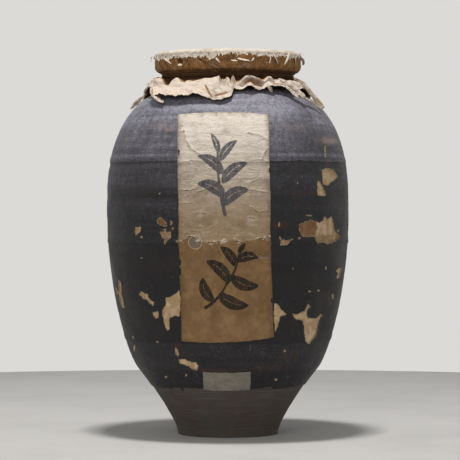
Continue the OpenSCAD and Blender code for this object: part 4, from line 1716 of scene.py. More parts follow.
@dataclass
class Labels:
    """The long front label and the small one at the foot, in millimetres."""

    wall: Wall
    paper: PastedPaper
    thick: float = 0.5
    left_edge: tuple = ((175, 250, 345, 460, 566), (-79, -80.5, -84, -86, -86))
    right_edge: tuple = ((182, 250, 345, 408, 566), (79, 76.5, 73, 72.7, 69.3))
    top: float = 566
    low_left: float = 175
    low_right: float = 182
    bow_top: float = 4
    bow_low: float = 4.5
    foot_low: float = 86.9
    foot_high: float = 121.3
    foot_left: float = -42.5
    foot_wide: float = 81.2
    columns: int = 124
    rows: int = 300
    foot_columns: int = 84
    foot_rows: int = 44
    cracks: tuple = (
        (((-84, 484), (-62, 486), (-40, 484.5)), 0.7), (((30, 486), (50, 487), (68, 486)), 0.6),
        (((16, 455), (44, 456), (70, 458)), 0.7), (((-84, 433), (-66, 435), (-49, 439)), 0.6),
        (((36, 426), (54, 425), (70, 424.5)), 0.6),
        (((25, 413), (43, 404), (51, 398), (71, 399.6)), 0.9),
        (((-84, 413), (-72, 413.5), (-60, 413)), 0.5), (((36, 331), (50, 326), (72, 322)), 0.7),
    )
    torn_line: tuple = (
        (-87, 344), (-74, 350), (-66, 356), (-61, 357), (-52, 349), (-38, 346), (-15, 347), (-3, 349),
        (10, 350), (23, 346), (37, 349), (49, 352), (67, 354), (76, 353),
    )
    torn_parts: tuple = ((0, 5, 1.3), (5, 8, 1.0), (8, 11, 1.2), (11, 14, 0.9))
    folds: tuple = (
        ((34, 534), (52, 531), (69, 522)), ((31, 482.4), (50, 483), (69, 482.6)),
        ((34, 447), (51.6, 454), (69, 455)), ((38, 436), (54, 433.5), (69, 431)),
        ((-86, 436), (-65, 434.3), (-48, 444.6), (-39.5, 451)),
        ((-86, 535), (-76, 538), (-72, 520), (-62, 505), (-46, 496)),
        ((-86, 481), (-74, 483), (-65, 481.7)), ((-82, 422), (-56, 430), (-27.4, 441), (-10, 456)),
        ((69, 508), (62, 496), (58.5, 487.6)), ((-86, 367.5), (-66, 366), (-48, 364), (-22, 374)),
        ((27.4, 328), (48, 323), (68.6, 321)), ((36, 389), (48, 387), (60, 390)),
        ((-60, 395), (-48, 398), (-36, 394)),
    )
    patch: tuple = (-56, 346, 10.5)
    chips: tuple = ((-83.5, 312, 3.6, 6), (-83, 296, 2.6, 8), (75.5, 246, 1.6, 4), (-84.5, 500, 1.8, 6),
                    (71.5, 470, 1.6, 5))

    def off(self, z: np.ndarray) -> np.ndarray:
        """How far off the clay the front label lies, as it rises where the rings lap.

        Args:
            z: the heights.

        Returns:
            One distance for each height.
        """
        near = 2 * self.paper.paste + 2 * self.paper.thick + self.thick / 2 + 0.25
        step = np.zeros_like(z)
        for seam in self.paper.seams[1:]:
            low = seam - self.paper.lap
            step += ramp(z, low - 5, low - 1.6) * (1 - ramp(z, seam + 5, seam + 9))
        return near + 0.6 * step

    def tears(self) -> list[np.ndarray]:
        """The torn places of the front label.

        Returns:
            The corners of each crack, then of the torn line's parts and of the edges' chips.
        """
        made = [slit(line, width, 300 + index) for index, (line, width) in enumerate(self.cracks)]
        for part, (first, last, width) in enumerate(self.torn_parts):
            made.append(slit(self.torn_line[first:last], width, 340 + part))
        turn = np.linspace(0, 2 * math.pi, 14, endpoint=False)
        for index, (x, z, width, height) in enumerate(self.chips):
            oval = stack(x + width * np.cos(turn), z + height * np.sin(turn))
            made.append(ragged(oval, 350 + index, 0.5, 1.2))
        return made

    def front(self) -> None:
        """Builds and dresses the front label."""
        torn = self.tears()
        folded = [slit(line, 0.2, 380 + index) for index, line in enumerate(self.folds)]

        def shape(u: np.ndarray, v: np.ndarray) -> np.ndarray:
            """Bends the sheet.

            Args:
                u: shares of the way across it.
                v: shares of the way up it.

            Returns:
                Places of its middle, one row each.
            """
            arch = 4 * u * (1 - u)
            low = self.low_left + (self.low_right - self.low_left) * u - self.bow_low * arch
            low += 0.5 * cloud(stack(u * 30, 0, 0), 81, 2)
            high = self.top + self.bow_top * arch + 0.5 * cloud(stack(u * 30, 0, 0), 82, 2)
            z = low + v * (high - low)
            x = np.interp(z, *self.left_edge) * (1 - u) + np.interp(z, *self.right_edge) * u
            x += 0.7 * cloud(stack(v * 16, 0, u), 83, 3) * (2 * np.abs(u - 0.5)) ** 6
            angle, length = np.arcsin(x / self.wall.radius(z, 2)), self.wall.along(z, 2)
            off = self.off(z) + self.wall.relief(angle, z)
            places = self.wall.place(angle, length, off)
            curl = np.exp(-PastedPaper.torn_distance(places, torn) / 1.9)
            lift = 0.9 * curl * (0.5 + 0.6 * cloud(places / 7, 84, 2))
            lift += 0.7 * bump(PastedPaper.torn_distance(places, folded), 0, 1.9)
            return self.wall.place(angle, length, off + np.clip(lift, 0, 1.2))

        piece = Bench.sheet("label", self.columns, self.rows, shape, self.thick, False)
        Bench.cut(piece, torn)
        places = Bench.points(piece)
        x, z = places[:, 0], places[:, 2]
        ink = np.minimum.reduce([stroke.reach(x, z) for stroke in SPRIGS])
        patch = np.hypot(x - self.patch[0], z - self.patch[1]) - self.patch[2]
        rim = np.minimum.reduce([x - np.interp(z, *self.left_edge), np.interp(z, *self.right_edge) - x,
                                 z - self.low_left + self.bow_low, self.top + self.bow_top - z])
        first, last = len(self.cracks), len(self.cracks) + len(self.torn_parts)
        lips = bump(PastedPaper.torn_distance(places, torn[first:last], 9), 0, 4.2)
        lips += 0.28 * np.exp(-PastedPaper.torn_distance(places, torn[:first], 6) / 1.3)
        Bench.mark(piece, "ink", np.clip(ink, -9, 9))
        Bench.mark(piece, "patch", np.clip(patch, -9, 20))
        Bench.mark(piece, "lip", np.clip(lips, 0, 1))
        # Height above the torn line, below which the finish paints the label darker, mostly as painted shade.
        Bench.mark(piece, "upper", np.clip(z - np.interp(x, *np.array(self.torn_line).T), -8, 8))
        Bench.mark(piece, "rim", np.clip(rim, 0, 20))
        Bench.mark(piece, "fold", PastedPaper.torn_distance(places, folded, 6))
        Bench.smooth(piece, 50)
        settle(piece, Body.JAR, Slot.LABEL_PAPER, LabelPaper().make(), "front_label")

    def foot(self) -> None:
        """Builds and dresses the small label at the foot, which hangs below the dark paper."""

        def shape(u: np.ndarray, v: np.ndarray) -> np.ndarray:
            """Bends the sheet.

            Args:
                u: shares of the way across it.
                v: shares of the way up it.

            Returns:
                Places of its middle, one row each.
            """
            arch = 0.9 * 4 * u * (1 - u)
            low = self.foot_low - arch + 0.4 * cloud(stack(u * 20, 0, 0), 91, 2)
            high = self.foot_high - arch + 0.4 * cloud(stack(u * 20, 0, 0), 92, 2)
            z = low + v * (high - low)
            x = (self.foot_left + self.foot_wide * u) * (1 + 0.012 * v)
            x = x + 0.4 * cloud(stack(v * 6, 0, u), 93, 2)
            angle = np.arcsin(x / self.wall.radius(z, 1.5))
            edge = self.paper.hem(angle)
            off = 0.35 + 1.32 * ramp(z, edge - 2.6, edge - 0.2) + self.wall.relief(angle, z)
            return self.wall.place(angle, self.wall.along(z, 1.5), off)

        columns, rows = self.foot_columns, self.foot_rows
        piece = Bench.sheet("label_at_foot", columns, rows, shape, self.thick, False)
        Bench.smooth(piece, 50)
        settle(piece, Body.JAR, Slot.FOOT_LABEL_PAPER, FootLabelPaper().make(), "foot_label")

    def make(self) -> None:
        """Builds and dresses both labels."""
        self.front()
        self.foot()


# ---- Cover: crown, gathered throat and flaring skirt ----

# The skirt's folds: turn from the front in degrees, then radius and height of its crest, middle and hem.
RIBS = [
    (-90, 132, 634, 138, 631, 143, 627), (-80, 134, 635, 141, 631, 147, 624.5),
    (-72, 136, 635, 143, 629, 149.5, 621), (-64, 138, 636, 145, 627, 152, 618),
    (-59, 138, 630, 147, 620, 155, 614.5), (-56, 138, 622, 149, 614, 161, 608),
    (-50, 138, 619, 152, 611, 169, 604), (-46, 138, 626, 153, 614, 169.5, 603.5),
    (-41, 138, 633, 154, 616, 170, 602.5), (-38, 138, 628, 154, 614, 170, 602.5),
    (-35, 138, 625, 153, 612.5, 171, 601), (-30, 138, 625, 152, 613, 170, 599),
    (-24, 138, 627, 153, 614, 169, 601), (-21, 138, 629, 154, 617, 169, 605),
    (-17, 138, 629, 154, 614, 168, 600), (-13, 138, 629, 153, 611, 167, 595.5),
    (-8, 138, 632, 154, 611, 168, 592), (-6.3, 138, 635, 155, 611, 169.5, 591.5),
    (-5.2, 136.5, 624, 154, 610, 170, 591.5), (-4.2, 137, 628, 153.5, 611, 169.5, 592.5),
    (-3.3, 136.5, 624.5, 153, 611, 169, 593), (-2, 137, 627, 152.5, 612, 168, 594),
    (-0.7, 138, 632.5, 152, 613.5, 167, 596), (1, 138, 629, 152, 615, 165, 598),
    (2.3, 137.5, 621, 150, 615, 163.5, 600.5), (3.1, 138, 637, 147, 622, 152, 609),
    (4.2, 138, 632, 142, 620, 147, 613), (5.8, 137, 623.5, 141, 617, 146, 611),
    (8, 137, 623, 140, 617, 145, 611), (11, 138, 630, 139, 620, 146, 613),
    (13, 139, 635.5, 138, 625, 148, 617.5), (16, 139, 637, 139, 627, 151, 619),
    (19, 139, 634.5, 138, 622, 146, 612.5), (22, 138, 631, 137, 619, 143, 610.5),
    (25, 138, 628, 137, 620, 143, 612), (28, 138, 629, 139, 624, 147, 618),
    (31, 139, 636, 141, 629, 151, 619), (33, 139, 636, 141, 628, 149, 620),
    (36, 138, 630, 143, 626, 148, 621), (40, 138, 630, 144, 625, 149.5, 618.5),
    (44, 138, 628, 144, 622, 150, 616.5), (48, 137, 627, 143, 620.5, 149, 615.5),
    (52, 137, 628, 143, 621, 148, 615), (56, 136, 628, 142, 621, 147, 614.5),
    (62, 136, 630, 142, 623, 147, 616), (67, 135, 632, 142, 625, 148, 617),
    (72, 134, 631, 142, 622, 150, 613), (78, 134, 632, 141, 624, 147.5, 616.5),
    (84, 134, 632, 141, 624, 147.5, 616), (90, 135, 631, 142, 624, 148.5, 615),
    (97, 136, 631, 143, 622, 150, 613), (104, 136, 630, 145, 619, 154, 609),
]

# Strips that hang from the skirt: turn, radius, height, half width and any tilt along each.
HANGING_STRIPS = [
    [(40, 137, 631, 1.6), (42.6, 142, 629.5, 3.0, -6), (45.5, 150, 622.8, 4.6, -12),
     (48.5, 158, 613.5, 5.4, -16), (51.0, 165.5, 604.5, 5.8, -14), (52.6, 170, 598.8, 5.2, -10)],
    [(41, 143, 623.5, 2.4), (43.4, 147, 620, 3.8, -6), (45.2, 153, 613, 4.2, -12),
     (47.2, 160, 604.5, 4.2, -12), (48.4, 165, 598, 3.2, -8)],
    [(60, 134, 634.5, 1.8, -20), (63.5, 138, 633.0, 3.0, -30), (66.5, 145, 626, 4.2, -38),
     (68.5, 154, 614.5, 4.8, -42), (70.5, 164, 600, 5.2, -38), (72, 174, 588, 5.4, -34),
     (72.8, 178.5, 583.5, 4.0, -30)],
    [(54, 167, 598.5, 1.5, -10), (58, 169, 594.8, 2.5, -14), (61.5, 172, 589.8, 2.9, -16),
     (64.5, 175.5, 584.8, 2.6, -16), (68, 178.5, 580.8, 1.8, -14)],
    [(28.5, 143, 622, 1.6), (29.3, 146.5, 617, 3.4, -10), (30.4, 147.5, 612, 3.6, -20),
     (31.8, 146, 607.8, 2.2, -10)],
    [(-59, 155, 618, 3.5), (-56, 160.5, 612, 4.4, 8), (-51.5, 166, 603, 4.0, 14),
     (-46, 169, 595.2, 3.8, 16), (-41, 172, 588.5, 2.6, 10)],
    [(-76, 147, 620, 2.0, 20), (-80, 149.5, 616, 3.2, 40), (-82, 150, 611, 2.6, 40),
     (-79, 150, 606.5, 1.2, 30)],
    [(-79.5, 150, 608.5, 0.8, 40), (-82, 153, 604.5, 1.0, 50), (-85.5, 158, 600.5, 3.6, 62),
     (-89, 164, 595.4, 4.6, 66), (-92, 171, 589.4, 3.2, 60), (-93.5, 176, 584, 0.9, 50)],
    [(112, 140, 628, 4), (114, 148, 620, 6), (116, 158, 607, 7), (117, 168, 593, 6)],
    [(207, 140, 629, 4), (205, 149, 619, 5), (202, 160, 604, 5.5), (200, 169, 590, 4)],
]

# Folds pressed into the cover's side: turn and height of both ends, half width, and depth.
SIDE_FOLDS = [
    (-22.3, 665, -7.5, 645, 1.5, 1.5), (-9.6, 657, -3.9, 646.5, 1.3, 1.3),
    (-58, 662, -52, 650, 2.0, 1.2), (-47, 664, -43, 651, 1.5, 0.9), (-70, 668, -64, 652, 1.8, 1.0),
    (-33, 664, -31, 652, 1.3, 0.7), (27, 662, 33, 650, 1.6, 0.8), (8, 660, 12, 651, 1.2, 0.5),
    (44, 661, 40, 650, 1.5, 0.8), (58, 664, 66, 652, 1.8, 1.0), (-27, 668, -20, 664, 1.2, 0.8),
    (98, 668, 106, 650, 1.8, 1.3), (131, 670, 126, 652, 1.6, 1.1), (170, 664, 182, 648, 1.8, 1.3),
    (214, 668, 221, 651, 1.6, 1.1), (248, 670, 243, 650, 1.9, 1.2), (-39.5, 663, -39.0, 662, 4.2, 2.2),
]


@dataclass
class CoverPaperSheet:
    """The paper cover: one sheet over the cap, gathered at the throat and flaring, in millimetres."""

    wall: Wall
    thick: float = 1.0
    columns: int = 512
    top: float = 681.3
    cap_radius: float = 129
    edge: float = 3.5
    round: float = 9
    low: float = 649.3
    throat: float = 115.4
    throat_high: float = 643.3
    throat_low: float = 635.3
    gap: float = 0.8
    clearance: float = 3.3
    skirt_rows: int = 34
    shoulder_points: int = 150

    def crown_line(self) -> np.ndarray:
        """The sheet's middle line from the crown to the throat.

        Returns:
            A row of radius, height, way out, way up and share of the pleats for each point.
        """
        rows = [(radius, self.top + self.gap, 0, 1, 0.25) for radius in (0, 30, 60, 90, 112, 122)]
        rows += self.corner(self.top - self.edge, self.edge, (90, 60, 30, 0), 0.45)
        for z in np.linspace(self.top - self.edge, self.low + self.round, 12)[1:-1]:
            rows.append((self.cap_radius + self.gap, z, 1, 0, 1.0))
        rows += self.corner(self.low + self.round, self.round, (0, -18, -36, -54, -72, -90), 1.0)
        rows.append((121, self.low - self.gap - 1.2, 0.3, -1, 0.9))
        rows += [(self.throat, z, 1, 0, 0.75) for z in np.linspace(self.throat_high, self.throat_low, 5)]
        return np.array(rows)

    def corner(self, height: float, size: float, turns: Sequence[float], share: float) -> list[tuple]:
        """Part of the middle line that runs round a corner of the cap.

        Args:
            height: the height of the corner's centre.
            size: the corner's radius.
            turns: degrees above level at which the line has a point.
            share: how high the pleats stand there.

        Returns:
            A row for each point.
        """
        ways = [(math.cos(math.radians(turn)), math.sin(math.radians(turn))) for turn in turns]
        reach = size + self.gap
        middle = self.cap_radius - size
        return [(middle + reach * out, height + reach * up, out, up, share) for out, up in ways]

    def pleats(self, degrees: np.ndarray, z: np.ndarray) -> np.ndarray:
        """Pleats that run down the side and into the throat.

        Args:
            degrees: the turns from the front.
            z: the heights.

        Returns:
            How high they stand, from 0 to about 1.
        """
        generator = np.random.default_rng(12)
        total = np.zeros_like(degrees)
        for centre in np.arange(0, 360, 3.4):
            centre = centre + generator.uniform(-1.5, 1.5)
            lean = generator.uniform(-0.45, 0.45)
            width = generator.uniform(0.5, 1.5)
            height = generator.uniform(0.25, 1.0)
            gap = half_turn(degrees - centre - lean * (645 - z) * 0.4)
            total = np.maximum(total, height * bump(gap, 0, width, 1.4))
        return total

    @staticmethod
    def creases(places: np.ndarray) -> np.ndarray:
        """How deep the sharp creases of the cover are.

        Args:
            places: its points.

        Returns:
            A share from 0 to 1 for each point.
        """
        wide = bump(cloud(places / (30, 30, 24), 33, 2), 0, 0.055)
        fine = bump(cloud(places / (14, 14, 18), 37, 2), 0, 0.05)
        return np.maximum(wide, 0.6 * fine) * ramp(cloud(places / 26, 39, 2), -0.35, 0.25)

    def side_folds(self, degrees: np.ndarray, z: np.ndarray) -> np.ndarray:
        """How far the folds press the side in.

        Args:
            degrees: the turns from the front.
            z: the heights.

        Returns:
            The depths, less than 0 beside a fold, where the paper stands proud.
        """
        total = np.zeros_like(degrees)
        per_degree = math.radians(self.cap_radius + 1)
        for start, high, end, low, half, depth in SIDE_FOLDS:
            x = half_turn(degrees - (start + end) / 2) * per_degree
            reach = (end - start) / 2 * per_degree
            gap = leg_distance(x, z, (-reach, high), (reach, low))[0] / half
            total += depth * (bump(gap, 0, 1) - 0.45 * bump(gap, 1.9, 1))
        return total

    def ribs(self, degrees: np.ndarray) -> np.ndarray:
        """The skirt's folds.

        Args:
            degrees: the turns from the front.

        Returns:
            Radius and height of crest, middle and hem, one row for each turn.
        """
        back = []
        for turn in range(110, 268, 6):
            wave = math.sin(math.radians(5 * turn)) + 0.6 * math.sin(math.radians(9 * turn + 40))
            fall = math.sin(math.radians(7 * turn + 120)) + 0.5 * math.sin(math.radians(13 * turn))
            back.append((turn, 136 + 1.5 * wave, 630 + 3 * fall, 149 + 2.5 * wave, 615 + 5 * fall,
                         161 + 5 * wave, 599.5 + 6 * fall))
        table = np.array(RIBS + back, float)
        table[:, 0] %= 360
        table = table[np.argsort(table[:, 0])].T
        return stack(*(np.interp(degrees % 360, table[0], row, period=360) for row in table[1:]))

    @staticmethod
    def slot_turn(height: np.ndarray) -> np.ndarray:
        """Turn of the fold that runs down the skirt left of the middle, at heights."""
        return -15.2 + (619 - height) * 0.247

    def skirt_line(self, degrees: np.ndarray, w: np.ndarray) -> tuple[np.ndarray, np.ndarray]:
        """Radius and height of the skirt.

        Args:
            degrees: the turns from the front.
            w: shares of the way from the throat to the hem.

        Returns:
            The radii and the heights.
        """
        crest, middle, hem = np.split(self.ribs(degrees), 3, axis=1)
        throat = np.tile((self.throat, self.throat_low), (len(w), 1))
        knots = np.stack([2 * throat - crest + (0, 14), throat, crest, middle, hem, 2 * hem - middle])
        marks = np.array((0, 0.32, 0.62, 1.0))
        leg = np.clip(np.searchsorted(marks, w, side="right") - 1, 0, 2)
        share = ((w - marks[leg]) / (marks[leg + 1] - marks[leg]))[:, None]
        line = bend_between(*(knots[leg + step, np.arange(len(w))] for step in range(4)), share)
        return line[:, 0], line[:, 1]

    def crown(self, degrees: np.ndarray, row: np.ndarray) -> tuple[np.ndarray, np.ndarray]:
        """The cover down to its throat, with its pleats, creases and pressed folds.

        Args:
            degrees: the turns from the front.
            row: places along the middle line, where each whole number is one of its rows.

        Returns:
            The radii and the heights.
        """
        line = self.crown_line()
        radius, height, out, rise, share = (np.interp(row, np.arange(len(line)), part) for part in line.T)
        here = turned(radius, np.radians(degrees), height)
        crumple = np.clip(0.5 + 0.5 * cloud(here / 14, 21, 2), 0, 1.4)
        near_throat = 0.30 + 0.70 * (1 - ramp(height, 648, 662))
        pleat = 0.9 * self.pleats(degrees, height) * near_throat
        push = share * (1 - 0.5 * ramp(-rise, 0.1, 0.8)) * (pleat + 1.5 * crumple - 0.9 * self.creases(here))
        side = ramp(out, 0.5, 0.9) * ramp(height, 643, 648)
        push = np.maximum(push - side * 1.3 * self.side_folds(degrees, height), -0.75)
        return radius + push * out, height + push * rise

    def skirt(self, degrees: np.ndarray, w: np.ndarray, pleat: np.ndarray) -> tuple[np.ndarray, np.ndarray]:
        """The skirt, crumpled and gathered, and kept off the paper below it.

        Args:
            degrees: the turns from the front.
            w: shares of the way from the throat to the hem.
            pleat: how high the pleats of the throat stand at each turn.

        Returns:
            The radii and the heights.
        """
        radius, height = self.skirt_line(degrees, w)
        here = turned(radius, np.radians(degrees), height)
        fold = 1 - np.abs(cloud(here / 20, 23, 2))
        drape = 1 - 2 * np.abs(cloud(stack(degrees / 7, 0.3 * w, 0), 29, 2))
        lift = 2.6 * (fold - 0.55) + 1.5 * drape + 0.5 * cloud(here / 6, 25, 2) - 1.3 * self.creases(here)
        trough = bump(degrees, -4.2, 4.6, 4) * bump(height, 602 + 0.6 * (degrees + 4.2), 3.2)
        past = degrees - self.slot_turn(height)
        step = ramp(past, 0.0, 0.55) * bump(height, 609, 12, 4) * bump(past, 0, 5.0)
        lift = ramp(w, 0.08, 0.35) * lift - 2.2 * trough + 2.0 * step
        radius = radius + (1 - ramp(w, 0.0, 0.5)) * 1.1 * pleat + 0.55 * lift
        height = height + 0.75 * lift + 1.2 * ramp(w, 0.9, 1.0) * cloud(here / 3.5, 27, 2)
        shoulder = self.wall.line[-self.shoulder_points:][::-1]
        floor = np.interp(radius, shoulder[:, 0], shoulder[:, 1]) + self.clearance
        return radius, np.where(w > 0.2, np.maximum(height, floor), height)

    def shape(self, u: np.ndarray, v: np.ndarray) -> np.ndarray:
        """The cover's middle surface.

        Args:
            u: shares of the way round it.
            v: shares of the way from its crown to its hem.

        Returns:
            One row of x, y, z for each point.
        """
        degrees = 360 * (u - 0.5)
        last = len(self.crown_line()) - 1
        row = v * (last + self.skirt_rows)
        crown_row = np.minimum(row, last)
        crown = self.crown(degrees, crown_row)
        heights = np.interp(crown_row, np.arange(last + 1), self.crown_line()[:, 1])
        w = np.clip((row - last) / self.skirt_rows, 0, 1)
        skirt = self.skirt(degrees, w, self.pleats(degrees, heights))
        radius, height = np.where(row <= last, crown, skirt)
        return turned(radius, np.radians(degrees), height)

    def mark(self, piece: Piece) -> None:
        """Marks the cover's inner side, where it is browned and lies in the cap's painted shadow, where it is
        stained and painted with shade, and its creases, painted as shade.

        Args:
            piece: the cover.
        """
        places = Bench.points(piece)
        radius, height = np.hypot(places[:, 0], places[:, 1]), places[:, 2]
        angle = np.degrees(turn_of(places))
        # The inner side, which the finish paints darker as shade.
        second = np.arange(len(places)) >= len(places) // 2
        on_top = radius < 100
        second_is_inner = height[on_top & ~second].mean() > height[on_top & second].mean()
        Bench.mark(piece, "inner", (second == second_is_inner).astype(float))
        on_skirt = height < self.throat_low + 0.5
        # The cap's side: tan, browner towards the top and to the right, with painted shade in the dent at
        # -39.5 degrees and under the lower round. The skirt: brown stain with the cap's painted shadow,
        # fading to cream beyond it.
        side = 0.46 + 0.16 * ramp(height, 655, 670) + 0.5 * bump(angle, -39.5, 3.6) * bump(height, 663.5, 4.2)
        side += 0.12 * ramp(angle, 15, 60) * (1 - ramp(angle, 100, 140))
        side += 0.5 * (1 - ramp(height, 645, 649.5))
        Bench.mark(piece, "browned_and_shaded", np.where(on_skirt, 1.05 - 1.05 * ramp(radius, 129, 139.5), side))
        # Brown stain with painted shade in the trough above the hem, painted shadow along the fold down the
        # skirt left of the middle, painted shade in the recess under the crest at the right, and a darker
        # line along the flared lips at the right.
        hem_trough_stain_and_shade = bump(angle, -4.4, 6.6) * bump(height, 602.3 + 0.72 * (angle + 4.2), 2.4)
        slot = bump(angle, self.slot_turn(height), 0.75) * bump(height, 609, 11, 4)
        recess_shade = bump(angle, 19.5, 8.5, 6) * bump(radius, 136.5, 5.5, 6) * (1 - ramp(height, 631, 636))
        lips = (angle > 34) & (angle < 45) & (np.abs(height - 623.5 + 0.25 * (angle - 34)) < 1.6)
        stain = np.clip(1.4 * hem_trough_stain_and_shade + 1.5 * slot + 0.85 * recess_shade + 0.8 * lips, 0, 1.5)
        Bench.mark(piece, "stain", stain * (places[:, 1] < 0) * on_skirt)
        # Painted shade in the pressed folds, the creases and the valleys between the throat's pleats.
        pressed = np.clip(self.side_folds(angle, height), 0, 1) * (height > 645) * (height < 672)
        pleat = ramp(1 - self.pleats(angle, height), 0.55, 0.95) * (height > 640)
        pleat = pleat * (1 - ramp(height, 648, 658))
        creased = np.maximum(self.creases(places) * np.where(on_skirt, 0.50, 0.9), 0.85 * pressed)
        Bench.mark(piece, "crease_shade", np.maximum(creased, 0.6 * pleat * (~on_skirt)))

    def make(self) -> None:
        """Builds and dresses the cover and the strips that hang from it."""
        rows = len(self.crown_line()) - 1 + self.skirt_rows
        piece = Bench.sheet("cover", self.columns, rows, self.shape, self.thick)
        self.mark(piece)
        Bench.smooth(piece, 60)
        material = CoverPaper().make()
        settle(piece, Body.CAP, Slot.COVER_PAPER, material, "cover_paper")
        made = [Bench.ribbon(line, 0.9, 0.55, 1.0, index) for index, line in enumerate(HANGING_STRIPS)]
        strips = Bench.join("hanging_strips", made)
        Bench.smooth(strips, 60)
        settle(strips, Body.CAP, Slot.COVER_PAPER, material)


# How far the worn top sheet hangs down the side: turn from the front, then drop.
DROPS = [
    (-90, 13), (-71, 11.6), (-65, 17), (-58, 13), (-54, 18), (-49, 15), (-45, 11), (-43, 18), (-41, 14),
    (-35, 14), (-28, 14.5), (-23, 15), (-18, 13.5), (-16, 16), (-14, 19), (-12, 20), (-10, 17),
    (-8.8, 14), (-5.3, 13.4), (-3.3, 10.8), (-1.5, 10), (1, 12), (3, 8), (7, 9.5), (8.4, 12),
    (15.8, 12.5), (16.5, 9), (21, 13), (25, 15), (27.8, 11), (35.6, 13), (40, 12), (45, 9.5), (50, 12),
    (55.6, 16), (60, 11), (63, 12), (73, 10), (90, 12),
]

# Slivers and flakes of the worn top sheet: turn, radius, height, half width and any tilt along each.
SLIVERS = [
    [(-60, 131.2, 672, 2.4), (-57, 132.4, 669.5, 2.2), (-52.5, 132.8, 664.5, 1.9),
     (-48.6, 132.8, 659.3, 0.6)],
    [(-9, 131.8, 667, 2.2), (-7.5, 132.8, 663, 1.6), (-5.8, 132.8, 658.6, 0.5)],
    [(36.8, 131.6, 677, 1.8), (38, 132.8, 672, 1.9), (40, 133.2, 665, 1.8), (41.6, 132.8, 658.6, 1.0)],
    [(34.5, 131.8, 672, 1.0), (34.0, 132.8, 665, 1.0), (33.0, 132.8, 659, 0.5)],
    [(55, 131.2, 680, 1.6), (53.6, 133, 675, 1.9), (51, 133.6, 666, 1.7), (48.3, 133.2, 657, 0.8)],
    [(62, 131.6, 675, 2.4), (63.5, 133, 669.5, 2.3), (64.6, 133.4, 662, 1.7), (65.2, 133, 656.5, 0.5)],
    [(-83, 130, 679, 2.5), (-87, 133, 678, 2.2), (-90, 137, 677, 1.4), (-91, 138.6, 672.5, 0.8),
     (-91, 138.7, 667.5, 0.5)],
    [(-86, 131.5, 675, 1.6), (-83, 133.2, 671, 1.4), (-80, 133, 667, 0.5)],
    [(-71, 131.8, 678, 1.4), (-70, 133, 672, 1.2), (-68, 133, 666, 0.4)],
    [(82, 130, 683.2, 1.6), (87, 133, 682.3, 1.5), (92, 136, 680.5, 0.6)],
    [(80, 131.5, 677, 2.6, 10), (88, 134, 673, 3.2, 10), (94, 136.3, 667.5, 2.8),
     (96, 135.5, 663.5, 1.2)],
    [(7.5, 132.2, 666.5, 2.0), (10, 133.6, 664.5, 4.4, 14), (14, 134.0, 663.2, 4.2, 18),
     (16.6, 132.8, 662, 1.8, 10)],
    [(2.5, 132.2, 663, 1.4), (5.0, 132.6, 662.2, 2.4), (7.4, 132.4, 662, 1.2)],
    [(-41, 132.2, 657.4, 3.2), (-38.6, 132.8, 656.6, 3.0), (-37.4, 132.4, 655.6, 0.8)],
    [(20, 132, 668, 1.4), (19, 132.8, 664, 1.2), (17.5, 132.6, 660.5, 0.4)],
    [(103, 131.5, 674, 2.4), (105, 133, 667, 2.0), (108, 132.8, 659, 0.6)],
    [(150, 131.5, 673, 2.0), (148, 133, 666, 1.8), (147, 132.8, 659, 0.6)],
    [(192, 131.5, 674, 2.6), (195, 133, 667, 2.0), (198, 132.8, 660, 0.6)],
    [(233, 131.5, 674, 2.2), (231, 133, 667, 2.0), (229, 132.8, 658, 0.6)],
]


